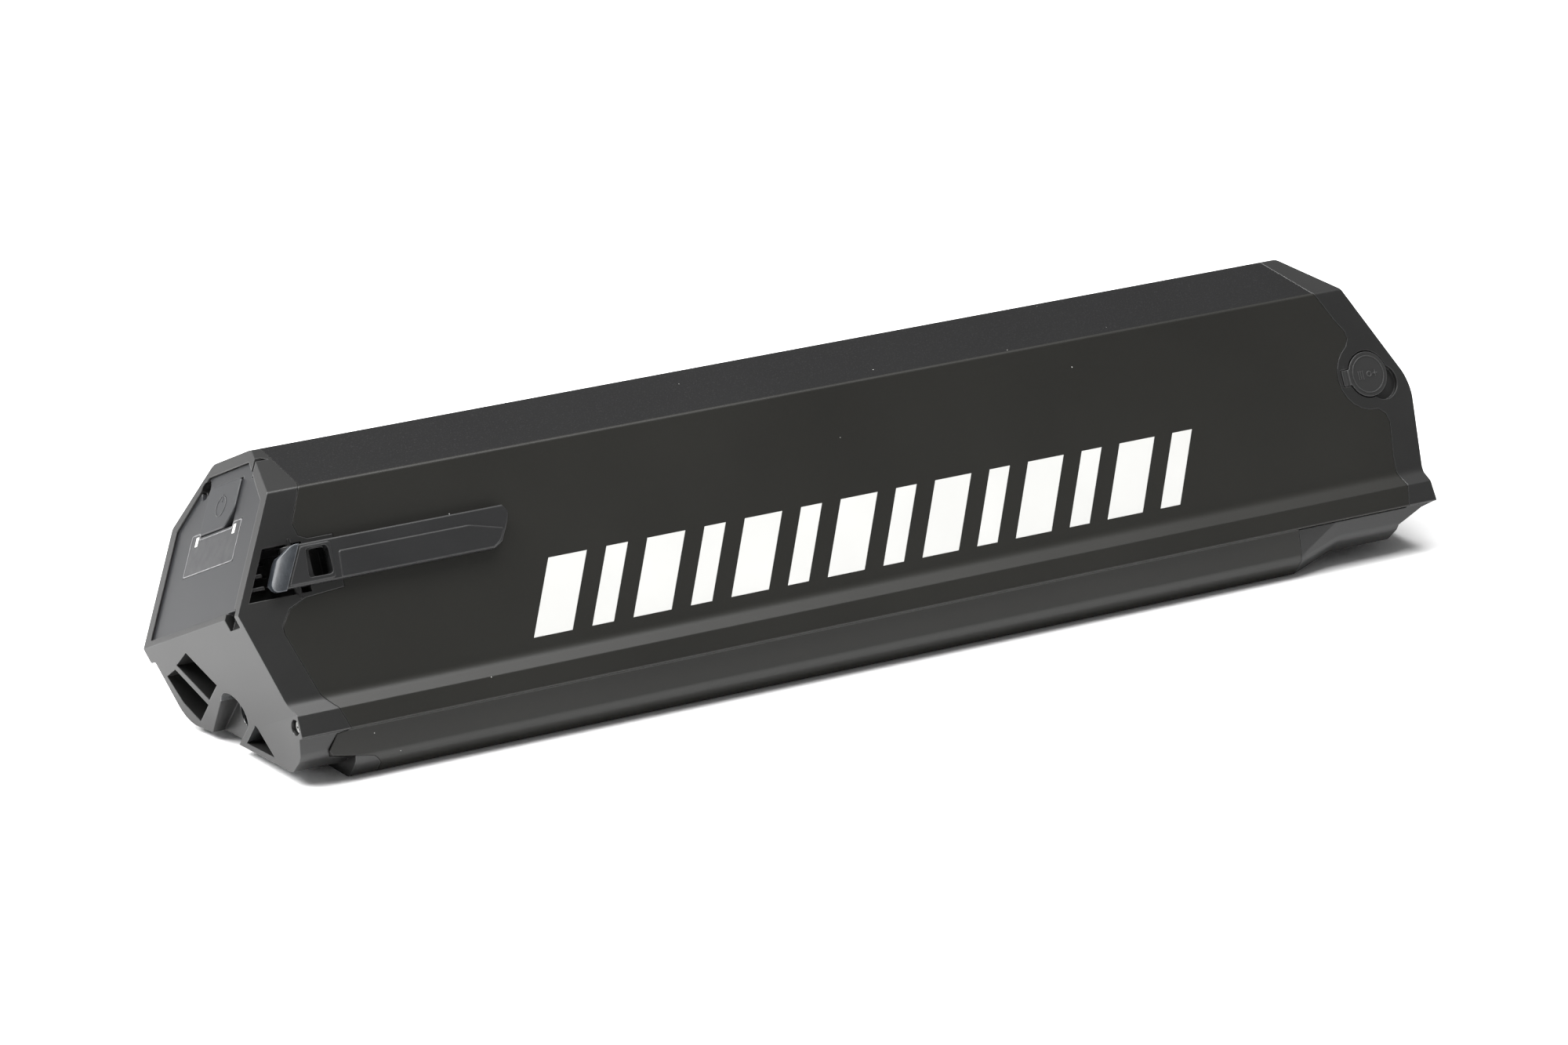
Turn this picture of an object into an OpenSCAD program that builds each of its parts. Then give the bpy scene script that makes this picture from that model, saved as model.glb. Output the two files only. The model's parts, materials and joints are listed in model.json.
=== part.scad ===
// Side-release battery pack: aluminium tube, two plastic end caps, cells and electronics.
// The section is drawn upright, as it sits on its mounting rail, with x from the control end
// to the discharge end. The pack then lies down on its slanted underside.

/* [Pack] */
// Length from the fold of one end cap to the fold of the other
pack_len = 510; // [430:1:620]
// Wall of the aluminium tube
tube_wall = 2; // [1.5:0.1:3]
// Rise of the chamfered crown above the ridges
crown_rise = 18; // [12:0.5:24]
// Slope of the crown's chamfers
crown_slope = 36.7; // [30:0.5:45]
// Angle of the slanted underside, which the pack rests on
rest_tilt = 25; // [18:0.5:30]
// Depth of the near side below the fold line, down to its flare
near_drop = 30; // [28:0.5:36]
// How far the flange stands out from the near side
flange_out = 3.3; // [2:0.1:5]
// Height of the flange's outer face
flange_h = 7.8; // [5:0.1:10]
// Depth of the keel below the flange
keel_drop = 16; // [12:0.5:22]

/* [Cells] */
// Diameter of a cell
cell_d = 21.5; // [17.8:0.1:26]
// Length of a cell
cell_len = 70; // [58:0.5:84]
// Gap between neighbouring cells
cell_gap = 0.7; // [0.4:0.1:1.5]
// Thickness of a cell holder
holder_t = 8; // [6:0.5:12]
// Space kept free at each end of the tube, past the last cell
end_room = 54; // [50:1:70]

/* [Control end] */
// Tilt of the control panel from upright
panel_tilt = 28.4; // [24:0.2:32]
// Tilt of the face below the fold
chin_tilt = 17.5; // [14:0.5:20]
// Wall of the end caps
cap_wall = 3; // [2.4:0.1:4]
// Thickness of the control panel
panel_t = 1.6; // [1.2:0.1:2.4]
// Width of the power button
button_w = 26; // [20:0.5:30]
// Height of the power button along the panel
button_h = 18; // [14:0.5:20]
// Travel of the power button
button_travel = 1; // [0.6:0.1:1.2]
// Radius of the lock bore
lock_r = 7; // [5.5:0.1:8.5]
// Length of the lock bush
lock_len = 22; // [16:0.5:28]

/* [Handle] */
// Reach of the pull handle past its pin
handle_len = 87.5; // [70:0.5:110]
// Width of the pull handle
handle_w = 14.8; // [12:0.2:18]
// Thickness of the pull handle
handle_t = 3.9; // [3:0.1:5]
// Radius of the handle's pin
handle_pin_r = 1.5; // [1.2:0.1:2]

/* [Charge port] */
// Radius of the charge port's rubber cover
cover_r = 8.7; // [7.5:0.1:10.5]
// Radius of the charge socket's bore
jack_r = 4.5; // [3.6:0.1:5.4]

/* [Discharge port] */
// Width of the discharge socket's mouth
port_w = 44; // [36:1:50]
// Height of the discharge socket's mouth
port_h = 14; // [11:0.5:17]

/* [Hidden] */
$fn = 48;

// Clearances
run_gap = 0.05;
part_gap = 0.3;
seam_gap = 0.2;
far = 200;

// Cell pack: hexagonal rows, seen along the cells
cell_r = cell_d / 2;
cell_pitch = cell_d + cell_gap;
row_pitch = cell_pitch * sin(60);
middle_z = 8.4;
row_z = [middle_z + row_pitch, middle_z, middle_z - row_pitch];
row_count = floor((pack_len - 2 * end_room) / cell_pitch);
first_x = (pack_len - (row_count - 1) * cell_pitch) / 2;
near_room = 1.5;
far_room = 1.2;
far_step = 3.3;
holder_rim = 1;
ridge_room = 0.85;
strip_t = 0.3;
sheet_t = 0.3;

// Section of the tube, across the pack: y grows to the far side, z upwards, the fold at z = 0
tube_w = cell_len + near_room + far_room + far_step + 2 * tube_wall;
half_w = tube_w / 2;
cell_y0 = -half_w + tube_wall + near_room;
cell_y1 = cell_y0 + cell_len;
ridge_z = row_z[0] + cell_r + holder_rim + ridge_room;
crown_z = ridge_z + crown_rise;
crown_half = half_w - crown_rise / tan(crown_slope);
crown_round = 6;
ridge_round = 1.6;
step_z = -5.6;
side_low_y = half_w - far_step;
flare_z = -near_drop;
flare_h = 8.8;
flange_top = flare_z - flare_h;
flange_bottom = flange_top - flange_h;
lower_in = 1;
keel_in = 10;
keel_y = -half_w + keel_in;
keel_z = flange_bottom - keel_drop;
keel_slope = tan(rest_tilt);
bilge_y = -half_w + 1.6;
bilge_z = keel_z + 4.4;
corner_round = 10;

// End caps: their underside is lifted off the one the pack rests on
cap_lift_near = 5.6;
cap_lift_far = 2.5;
spigot_len = 9;
spigot_gap = 0.15;

// Vector helpers and rounded outlines
function unit(v) = v / norm(v);
function left_of(v) = [-v[1], v[0]];
function turned(v, a) = [v[0] * cos(a) - v[1] * sin(a), v[0] * sin(a) + v[1] * cos(a)];
function inset_point(a, b, c, d) =
    let (m = left_of(unit(b - a)), n = left_of(unit(c - b)))
    b + d * (m + n) / (1 + m * n);
function inset(p, d) =
    [for (i = [0 : len(p) - 1]) inset_point(p[(i + len(p) - 1) % len(p)], p[i], p[(i + 1) % len(p)], d)];
function corner(a, b, c, r, steps) =
    let (u = unit(b - a), v = unit(c - b), side = sign(u[0] * v[1] - u[1] * v[0]))
    let (turn = acos(max(-1, min(1, u * v))), reach = r * tan(turn / 2))
    let (from = b - u * reach, inward = side * left_of(u), centre = from + inward * r)
    [for (k = [0 : steps]) centre + turned(-inward * r, side * turn * k / steps)];
function rounded(p, radii, steps) =
    [for (i = [0 : len(p) - 1])
        let (a = p[(i + len(p) - 1) % len(p)], b = p[i], c = p[(i + 1) % len(p)])
        for (q = radii[i] > 0 ? corner(a, b, c, radii[i], steps) : [b]) q];

// Corners of the section, counter-clockwise from the keel, for a given lift of the underside
function section_corners(near_lift, far_lift) = [
    [keel_y, keel_z + near_lift],
    [side_low_y, keel_z + (side_low_y - keel_y) * keel_slope + far_lift],
    [side_low_y, step_z],
    [half_w, step_z],
    [half_w, ridge_z],
    [crown_half, crown_z],
    [-crown_half, crown_z],
    [-half_w, ridge_z],
    [-half_w, flare_z - 3.8],
    [-half_w - flange_out, flange_top],
    [-half_w - flange_out, flange_bottom],
    [-half_w - lower_in, flange_bottom],
    [bilge_y, bilge_z + near_lift * 0.8]];
section_radii = [3, corner_round, 0.8, 0.8, ridge_round, crown_round, crown_round, ridge_round,
    7, 0.5, 0.5, 0.4, 5];
tube_section = rounded(section_corners(0, 0), section_radii, 5);

// The bore passes behind the flange, which is a solid rail
bore_radii = [1, corner_round - 2, 0.4, 0.4, 0.4, 4, 4, 0.4, 1, 3];
tube_corners =
    let (p = section_corners(0, 0))
    [p[0], p[1], p[2], p[3], p[4], p[5], p[6], p[7], [-half_w, flange_bottom - 4], p[12]];

// The caps' inside has a single corner at the bilge
cap_radii = [1, corner_round - 2, 0.4, 0.4, 0.4, 4, 4, 0.4, 3];
cap_section = rounded(section_corners(cap_lift_near, cap_lift_far), section_radii, 5);
cap_corners =
    let (p = section_corners(cap_lift_near, cap_lift_far), slope = (p[12][1] - p[0][1]) / (p[0][0] - p[12][0]))
    [p[0], p[1], p[2], p[3], p[4], p[5], p[6], p[7], [-half_w, p[12][1] + (half_w + p[12][0]) * slope]];

function bore_outline(corners, d) =
    rounded(inset(corners, d), len(corners) == len(cap_radii) ? cap_radii : bore_radii, 4);

// Lying down: the underside turns to the floor, and the box is centred
laid_across = [for (p = tube_section) p[0] * cos(rest_tilt) + p[1] * sin(rest_tilt)];
laid_up = [for (p = tube_section) p[1] * cos(rest_tilt) - p[0] * sin(rest_tilt)];
laid_y = (min(laid_across) + max(laid_across)) / 2;
laid_z = min(laid_up);

// Ends, along the pack
panel_lean = tan(panel_tilt);
chin_lean = tan(chin_tilt);
chin_x = 12;
tail_lean = 0.12;

// Seams, as pairs of the distance from the fold and the height
control_seam = [[35, crown_z + 5], [34.7, ridge_z + 1.5], [28.3, 28], [29.7, 23.4], [33, 21.9], [43, 21.9],
    [43, 2.8], [27.2, 1.6], [20.2, -1.1], [16, -6.5], [16, -9.5], [24.4, -32.9], [28.6, -38.5],
    [31.6, flange_bottom], [26.7, flange_bottom - 0.6], [23, flange_bottom - 5.8],
    [24, flange_bottom - 7.8], [40.4, flange_bottom - 10.6], [44, flange_bottom - 13.4]];
cover_x = 18.8;
cover_z = 6.2;
boss_r = cover_r + 5.1;
foot_x = 44;
foot_start = 33;
tail_foot = 67;
lower_slope = 0.32;
lower_cut_y = 2 - half_w;
lower_round = 6;
function lower_cut(y) = flange_bottom + (y - lower_cut_y) * lower_slope;
discharge_seam = concat(
    [[40, crown_z + 5], [35, ridge_z + 1], [28, 28.8], [24.6, 24], [24.2, 21]],
    [for (a = [60 : -15.5 : -95]) [cover_x + boss_r * cos(a), cover_z + boss_r * sin(a)]],
    [[14.6, -9.9], [13.7, -13.5], [15.9, -27], [16.1, -33], [14.7, -38.3], [16.3, flange_bottom]]);

// Where the caps' screws run into ports in the tube's wall
port_r = 2.9;
port_web = 3;
screw_r = 1.5;
screw_head_r = 2.6;
screw_head_t = 2.2;
ports = [[crown_half + 2.4, crown_z - 8.4], [-crown_half - 2.4, crown_z - 8.4],
    [side_low_y - 6.2, keel_z + (side_low_y - keel_y) * keel_slope + 5.6],
    [-half_w + 0.1, flange_top - 3.4]];
port_angles = [90 - crown_slope, 90 + crown_slope, -45, 180];
// For each screw: its port, the depth of its head's seat behind the fold, and its point
control_screws = [[0, 31.5, 59], [3, 14.5, 45]];
discharge_screws = [[0, 31.5, 59], [1, 31.5, 59], [2, 8, 76], [3, 7, 40]];

// Lock
lock_y = -0.5;
lock_z = -30.7;
lock_entry = -27.4;
bulkhead_x = 34;
shelf_z = -4;
bush_wall = 1.5;
entry_play = 0.4;
bush_x = 20;

// Handle and its pocket in the near side
hinge_x = 25.5;
hinge_r = 3.8;
hinge_in = 1.4;
hinge_y = -half_w + hinge_in;
handle_z = 5.5;
pocket_z0 = handle_z - 2.1;
pocket_z1 = handle_z + handle_w + 0.9;
pocket_back = 3.4;
pocket_x1 = hinge_x + hinge_r + 1;
pocket_depth = 12;
rib_t = 1.2;
handle_slot_x = 31.6;
handle_slot_w = 6.4;
handle_slot_h = 10;
slot_z = handle_z + (handle_w - handle_slot_h) / 2;
tail_cut = 8.4;

// Charge port cover, hinged on the side away from the end
cover_t = 3;
cover_proud = 0.4;
jack_flange_t = 0.8;
jack_pad = 7;
jack_len = 20;
cover_pin_x = cover_x + cover_r + 1.5;
cover_pin_in = 1;
cover_pin_r = 0.8;
cover_knuckle_r = 1.5;
cover_knuckle_h = 6;
cover_y = -half_w - cover_proud;

// Discharge port, square to the underside
port_u = 36;
port_v = 24;
port_wall = 2;
port_face = 6;
port_depth = 18;
port_back = 4;
blade_count = 6;
blade_t = 0.8;
blade_h = 6;
blade_out = 11;
blade_tail = 6;
blade_margin = 4;
vent_r = 2;
vent_y = 22;
vent_z = -8;

// Control panel, with its depths measured from the cap's slanted face
panel_sink = 0.8;
panel_edge = 5;
panel_foot = 2.5;
ridge_s = ridge_z / cos(panel_tilt);
crown_s = crown_z / cos(panel_tilt);
panel_back = panel_sink + panel_t;
face_wall = 6;
button_t = 3;
button_well = button_t + button_travel + 0.4;
plunger_r = 2.5;
plunger_len = 1.9;
window_t = 0.6;
window_half = 21;
window_s0 = 23.7;
button_s = 38.5;
pipe_x = 15;
pipe_w = 2.6;
pipe_h = 6;
pipe_s = 36.7;
board_depth = 9;

// Electronics on the underside
board_u = 14;
board_w = 40;
board_t = 1.6;
board_len = 180;
board_x = 160;
plate_t = 3;

// Placing helpers
module laid() {
    translate([-pack_len / 2, -laid_y, -laid_z])
        rotate([-rest_tilt, 0, 0])
            children();
}

module along(x0, x1) {
    translate([x0, 0, 0])
        rotate([90, 0, 90])
            linear_extrude(x1 - x0)
                children();
}

module across(y0, y1) {
    translate([0, y1, 0])
        rotate([90, 0, 0])
            linear_extrude(y1 - y0)
                children();
}

module tail() {
    translate([pack_len, 0, 0])
        mirror([1, 0, 0])
            children();
}

// Frame of the underside: x along the pack, y up the slope, z square to it
module on_keel() {
    translate([0, keel_y, keel_z])
        rotate([rest_tilt, 0, 0])
            children();
}

// Frame of the control panel: x towards the near side, y up the panel, z out of it
module on_panel() {
    rotate([0, panel_tilt - 90, 0])
        rotate([0, 0, -90])
            children();
}

module rod_x(r, x0, x1, y, z) {
    translate([x0, y, z])
        rotate([0, 90, 0])
            cylinder(r = r, h = x1 - x0);
}

module rod_y(r, x, y0, y1, z) {
    translate([x, y0, z])
        rotate([-90, 0, 0])
            cylinder(r = r, h = y1 - y0);
}

module block(a, b) {
    translate(a)
        cube(b - a);
}

// A wire swept as an eight-sided tube along its points
function lead_dir(p, i) = unit((i < len(p) - 1 ? unit(p[i + 1] - p[i]) : [0, 0, 0])
    + (i > 0 ? unit(p[i] - p[i - 1]) : [0, 0, 0]));
function lead_side(d) = unit(cross(d, [0.2, 0.7, 0.7]));
module lead(p, r) {
    n = 8;
    rings = [for (i = [0 : len(p) - 1])
        let (d = lead_dir(p, i), u = lead_side(d), v = cross(d, u))
        for (k = [0 : n - 1]) p[i] + r * (u * cos(360 * k / n) + v * sin(360 * k / n))];
    last = (len(p) - 1) * n;
    polyhedron(points = rings, faces = concat(
        [[for (k = [0 : n - 1]) k]],
        [for (i = [0 : len(p) - 2]) for (k = [0 : n - 1])
            [i * n + k, (i + 1) * n + k, (i + 1) * n + (k + 1) % n]],
        [for (i = [0 : len(p) - 2]) for (k = [0 : n - 1])
            [i * n + k, (i + 1) * n + (k + 1) % n, i * n + (k + 1) % n]],
        [[for (k = [n - 1 : -1 : 0]) last + k]]));
}

// Side outlines of the ends, set in by d
control_corners = [[0, 0], [chin_x, -chin_x / chin_lean], [chin_x, -far], [far, -far], [far, far],
    [far * panel_lean, far]];
discharge_corners = [[0, 0], [4.2, -35], [3.2, flange_bottom], [9, flange_bottom - 1.2],
    [20, flange_bottom - 6], [44, -far], [far, -far], [far, far], [far * panel_lean, far]];

module control_side(d) {
    across(-far, far)
        polygon(inset(control_corners, d));
}

module discharge_side() {
    across(-far, far)
        polygon(discharge_corners);
}

module zone(seam, gap) {
    last = seam[len(seam) - 1];
    across(-far, far)
        polygon(concat([[-far, far], [seam[0][0] + gap, far]], [for (p = seam) [p[0] + gap, p[1]]],
            [[last[0] + gap, -far], [-far, -far]]));
}

// Below the flange the discharge cap reaches further under the tube, up to a slanted cut
module lower_zone(reach, gap) {
    along(-1, reach)
        translate([0, -gap])
            polygon([[-far, flange_bottom], [lower_cut_y, flange_bottom],
                [far, lower_cut(far)], [far, -far], [-far, -far]]);
}

function lower_outline(near_lift, far_lift) =
    let (p = section_corners(near_lift, far_lift))
    rounded([p[0], p[1], [side_low_y, lower_cut(side_low_y)], [lower_cut_y, flange_bottom], p[11], p[12]],
        [3, lower_round, 0, 0, 0, 5], 4);

// Tube with its screw ports
module housing_extrusion() {
    color([0.17, 0.17, 0.16])
        laid()
            difference() {
                along(0, pack_len)
                    difference() {
                        polygon(tube_section);
                        difference() {
                            polygon(bore_outline(tube_corners, tube_wall));
                            for (i = [0 : 2])
                                screw_port(ports[i], port_angles[i]);
                        }
                        for (p = ports)
                            translate(p)
                                circle(r = screw_r + run_gap);
                    }
                zone(control_seam, seam_gap);
                tail() {
                    zone(discharge_seam, seam_gap);
                    lower_zone(tail_foot + seam_gap, 0);
                }
                tube_clearance();
            }
}

// Round port on a web that joins it to the wall
module screw_port(place, angle) {
    translate(place)
        rotate(angle) {
            circle(r = port_r);
            translate([0, -port_web / 2])
                square([port_r + 5, port_web]);
        }
}

// The tube's ports stop short of the caps' sockets for them
module tube_clearance() {
    spigot_ring(control_seam[5][0] - far, control_seam[5][0] + spigot_len + part_gap);
    tail()
        spigot_ring(-far, control_seam[5][0] + spigot_len + part_gap);
}

module spigot_ring(x0, x1) {
    along(x0, x1)
        polygon(bore_outline(tube_corners, tube_wall));
}

module screw_holes(list) {
    for (n = list) {
        p = ports[n[0]];
        rod_x(screw_head_r + part_gap, -1, n[1] + screw_head_t, p[0], p[1]);
        rod_x(screw_r + run_gap, 0, n[2] + 1, p[0], p[1]);
    }
}

module screws(list) {
    for (n = list) {
        p = ports[n[0]];
        difference() {
            union() {
                rod_x(screw_head_r, n[1], n[1] + screw_head_t, p[0], p[1]);
                rod_x(screw_r, n[1] + screw_head_t, n[2], p[0], p[1]);
            }
            translate([n[1], p[0], p[1]])
                for (a = [0, 90])
                    rotate([a, 0, 0])
                        cube([2.4, 3.2, 0.7], center = true);
        }
    }
}

module control_end_screws() {
    color("silver")
        laid()
            screws(control_screws);
}

module discharge_end_screws() {
    color("silver")
        laid()
            tail()
                screws(discharge_screws);
}

// Spigot of an end cap: a ring inside the tube, with the groove for its gasket
spigot_x1 = control_seam[5][0] + spigot_len;
groove_x = spigot_x1 - 5;
groove_w = 2.5;
groove_in = tube_wall + 1.2;
hollow_in = tube_wall + spigot_gap + cap_wall - 0.15;
spigot_in = hollow_in + 0.4;
// Bosses end within the spigot's wall
boss_in = hollow_in - 0.8;
module spigot(x0) {
    difference() {
        along(x0, spigot_x1)
            difference() {
                polygon(bore_outline(cap_corners, tube_wall + spigot_gap));
                polygon(bore_outline(cap_corners, spigot_in));
            }
        along(groove_x, groove_x + groove_w)
            difference() {
                square(far, center = true);
                polygon(bore_outline(cap_corners, groove_in));
            }
    }
}

module gasket() {
    along(groove_x, groove_x + groove_w)
        difference() {
            polygon(bore_outline(cap_corners, tube_wall + spigot_gap / 2));
            polygon(bore_outline(cap_corners, groove_in));
        }
}

module control_end_gasket() {
    color("dimgray")
        laid()
            gasket();
}

module discharge_end_gasket() {
    color("dimgray")
        laid()
            tail()
                difference() {
                    gasket();
                    lower_zone(spigot_x1, 0);
                }
}

// Outline of the control panel, grown by g
function panel_outline(g) =
    let (w = half_w - panel_edge + g, top = crown_s - panel_edge + g, tip = crown_half + 0.5 + g)
    [[-w, panel_foot - g], [w, panel_foot - g], [w, ridge_s - 2], [tip, top], [-tip, top], [-w, ridge_s - 2]];

module button_outline(g) {
    translate([-button_w / 2 - g, button_s - g])
        square([button_w + 2 * g, button_h + 2 * g]);
}

module window_outline(g) {
    difference() {
        translate([-window_half - g, window_s0 - g])
            square([2 * (window_half + g), button_s + 1.5 - window_s0 + 2 * g]);
        translate([-button_w / 2 - 1 + g, button_s - 0.8 + g])
            square([button_w + 2 - 2 * g, button_h]);
    }
}

// Layer of the panel between two depths
module layer(depth, t) {
    on_panel()
        translate([0, 0, -depth])
            linear_extrude(t)
                children();
}

module panel_cuts(g) {
    rod_x(screw_head_r + 0.6 + g, -10, crown_z, ports[0][0], ports[0][1]);
    layer(face_wall + 10, far)
        panel_notch();
}

// Square notch at the panel's lower near corner, and the narrow slot at its upper one
module panel_notch() {
    translate([half_w - 11, -3])
        square([8, 6]);
}

module panel_slot() {
    translate([half_w - 19, ridge_s + 9])
        square([1.6, 8]);
}

module control_panel() {
    color([0.15, 0.16, 0.18])
        laid()
            difference() {
                layer(panel_back, panel_t)
                    polygon(panel_outline(0));
                layer(panel_back + 1, far)
                    button_outline(part_gap);
                layer(panel_sink + window_t, far)
                    window_outline(run_gap);
                layer(panel_back + 1, far)
                    pipes_outline(run_gap);
                layer(panel_back + 1, far)
                    panel_slot();
                panel_cuts(0.2);
            }
}

module pipes_outline(g) {
    for (x = [-pipe_x, pipe_x])
        translate([x - pipe_w / 2 - g, pipe_s - pipe_h / 2 - g])
            square([pipe_w + 2 * g, pipe_h + 2 * g]);
}

module power_button() {
    color([0.16, 0.17, 0.19])
        laid() {
            layer(button_t, button_t)
                button_outline(0);
            layer(button_t + plunger_len, plunger_len)
                translate([0, button_s + button_h / 2])
                    circle(r = plunger_r);
        }
}

module indicator_window() {
    color([0.2, 0.2, 0.22])
        laid()
            layer(panel_sink + window_t, window_t)
                window_outline(0);
}

module indicator_light_pipes() {
    color("white")
        laid()
            layer(board_depth, board_depth - panel_sink - window_t)
                pipes_outline(0);
}

module control_board() {
    color("darkgreen")
        laid()
            layer(board_depth + board_t, board_t)
                translate([-26, 20])
                    square([52, 34]);
}

module tact_switch() {
    color("dimgray")
        laid() {
            layer(board_depth, 2.4)
                translate([-3, button_s + button_h / 2 - 3])
                    square(6);
            layer(board_depth - 2.4, 0.6)
                translate([0, button_s + button_h / 2])
                    circle(r = 1.5);
        }
}

// Pocket in the near side that takes the handle's hinge and the fingers
module pocket_outline(g) {
    polygon([[pocket_z0 * panel_lean + pocket_back - g, pocket_z0 - g],
        [pocket_z1 * panel_lean + pocket_back - g, pocket_z1 + g],
        [pocket_x1 + g, pocket_z1 + g], [pocket_x1 + g, pocket_z0 - g]]);
}

module slot_recess(g) {
    translate([pocket_x1 - 1, slot_z - 1 - g])
        square([handle_slot_x + handle_slot_w + 2 - pocket_x1 + g, handle_slot_h + 2 + 2 * g]);
}

module handle_pocket() {
    difference() {
        union() {
            across(-half_w - 1, -half_w + pocket_depth)
                pocket_outline(0);
            across(-half_w - 1, -half_w + 6)
                slot_recess(0);
        }
        for (k = [1 : 3])
            pocket_rib(pocket_z0 + k * (pocket_z1 - pocket_z0) / 4);
    }
    translate([hinge_x, hinge_y, pocket_z0 - 1.8])
        cylinder(r = handle_pin_r, h = pocket_z1 - pocket_z0 + 3.6);
}

module pocket_rib(z) {
    block([0, -half_w + 2.5, z - rib_t / 2], [hinge_x - 8.2, -half_w + pocket_depth + 1, z + rib_t / 2]);
    block([0, -half_w + 10, z - rib_t / 2], [pocket_x1 + 1, -half_w + pocket_depth + 1, z + rib_t / 2]);
}

// Weight-saving pockets below the fold: two with a thin web between, and a triangle by the rail
module chin_pockets() {
    along(-1, bulkhead_x - 3) {
        polygon([[11, -6], [22.5, -9], [12.5, -24], [1.5, -20]]);
        polygon([[25, -10.2], [33.5, -11.5], [32, -22], [27, -30], [15, -25.5]]);
        polygon([[-10, -37], [0, -42.2], [-19, -50]]);
    }
}

module lock_boss() {
    rod_x(lock_r + bush_wall + 2.5, 5, bush_x + lock_len + 2, lock_y, lock_z);
}

module lock_cut() {
    rod_x(lock_r + entry_play, -1, bush_x + 1, lock_y, lock_z);
    rod_x(lock_r + bush_wall, bush_x, bush_x + lock_len, lock_y, lock_z);
    translate([-1, lock_y, lock_z])
        rotate([lock_entry, 0, 0])
            translate([0, 0, -lock_r])
                cube([bush_x - 3, far, 2 * lock_r]);
}

module control_end_cap() {
    color([0.2, 0.2, 0.2])
        laid()
            difference() {
                intersection() {
                    union() {
                        difference() {
                            intersection() {
                                along(0, foot_x)
                                    polygon(cap_section);
                                zone(control_seam, 0);
                            }
                            control_hollow();
                        }
                        spigot(10);
                        control_foot();
                        intersection() {
                            along(0, spigot_x1 - 1)
                                polygon(bore_outline(cap_corners, boss_in));
                            union() {
                                across(-half_w, -half_w + pocket_depth + 2)
                                    pocket_outline(2);
                                across(-half_w, -half_w + 8)
                                    slot_recess(2);
                                lock_boss();
                                board_posts();
                            }
                        }
                    }
                    control_side(0);
                }
                handle_pocket();
                chin_pockets();
                lock_cut();
                screw_holes(control_screws);
                panel_recess();
            }
}

module control_foot() {
    intersection() {
        along(foot_start, foot_x)
            intersection() {
                polygon(tube_section);
                translate([-far, -far])
                    square([2 * far, far + flange_bottom - 5]);
            }
        zone(control_seam, 0);
    }
    along(foot_start + 1, foot_x - 1)
        intersection() {
            polygon(bore_outline(tube_corners, boss_in));
            translate([-half_w, keel_z])
                square([20, cap_lift_near + 6]);
        }
}

// Above the shelf it follows the slanted face; below, it starts behind the bulkhead
module control_hollow() {
    intersection() {
        along(3, far)
            intersection() {
                polygon(bore_outline(cap_corners, hollow_in));
                translate([-far, shelf_z])
                    square(2 * far);
            }
        control_side(face_wall);
    }
    along(bulkhead_x, far)
        intersection() {
            polygon(bore_outline(cap_corners, hollow_in));
            translate([-far, shelf_z + 1 - 2 * far])
                square(2 * far);
        }
}

module board_posts() {
    layer(board_depth, board_depth - face_wall + 1)
        for (x = [-22, 22])
            for (y = [26, 50])
                translate([x, y])
                    circle(r = 2.5);
}

module panel_recess() {
    layer(panel_back, far)
        polygon(panel_outline(0.2));
    layer(button_well, far)
        button_outline(part_gap);
    layer(far / 4, far)
        translate([0, button_s + button_h / 2])
            circle(r = plunger_r + part_gap);
    layer(face_wall + 4, far)
        pipes_outline(0.1);
    layer(panel_back + 2, far)
        panel_slot();
    layer(4, far)
        panel_notch();
}

module lock_bush() {
    color("silver")
        laid()
            difference() {
                rod_x(lock_r + bush_wall, bush_x, bush_x + lock_len, lock_y, lock_z);
                rod_x(lock_r, bush_x - 1, bush_x + lock_len + 1, lock_y, lock_z);
            }
}

// Handle: a flat arm over the side, with a knuckle on its pin
module pull_handle() {
    end_x = hinge_x + handle_len;
    root_x = hinge_x + 3.4;
    low_x = root_x - handle_w * panel_lean;
    color([0.22, 0.24, 0.27])
        laid()
            difference() {
                union() {
                    across(-half_w - part_gap - handle_t, -half_w - part_gap)
                        polygon([[low_x, handle_z], [end_x - tail_cut, handle_z],
                            [end_x - 2, handle_z + handle_w * 0.8], [end_x - 2, handle_z + handle_w],
                            [root_x, handle_z + handle_w]]);
                    translate([hinge_x, hinge_y, handle_z])
                        cylinder(r = hinge_r, h = handle_w);
                }
                translate([hinge_x, hinge_y, handle_z - 1])
                    cylinder(r = handle_pin_r + run_gap, h = handle_w + 2);
                block([handle_slot_x, -half_w - 10, slot_z],
                    [handle_slot_x + handle_slot_w, -half_w + 1, slot_z + handle_slot_h]);
            }
}

module handle_pin() {
    color("silver")
        laid()
            translate([hinge_x, hinge_y, pocket_z0 - 1.8])
                cylinder(r = handle_pin_r, h = pocket_z1 - pocket_z0 + 3.6);
}

// Discharge end cap, with its foot under the tube
module discharge_end_cap() {
    color([0.2, 0.2, 0.2])
        laid()
            tail()
                difference() {
                    intersection() {
                        union() {
                            difference() {
                                union() {
                                    intersection() {
                                        along(0, spigot_x1)
                                            polygon(cap_section);
                                        union() {
                                            zone(discharge_seam, 0);
                                            lower_zone(spigot_x1, seam_gap);
                                        }
                                    }
                                    fairing();
                                }
                                discharge_hollow();
                            }
                            spigot(10);
                            intersection() {
                                along(0, spigot_x1 - 1)
                                    polygon(bore_outline(cap_corners, boss_in));
                                union() {
                                    rod_y(boss_r - 3, cover_x, -half_w, -half_w + jack_pad, cover_z);
                                    port_shroud();
                                }
                            }
                        }
                        discharge_side();
                    }
                    cover_recess();
                    port_box(-5, port_face + 1, 0);
                    screw_holes(discharge_screws);
                    rod_x(vent_r, -1, port_face + 1, vent_y, vent_z);
                }
}

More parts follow.
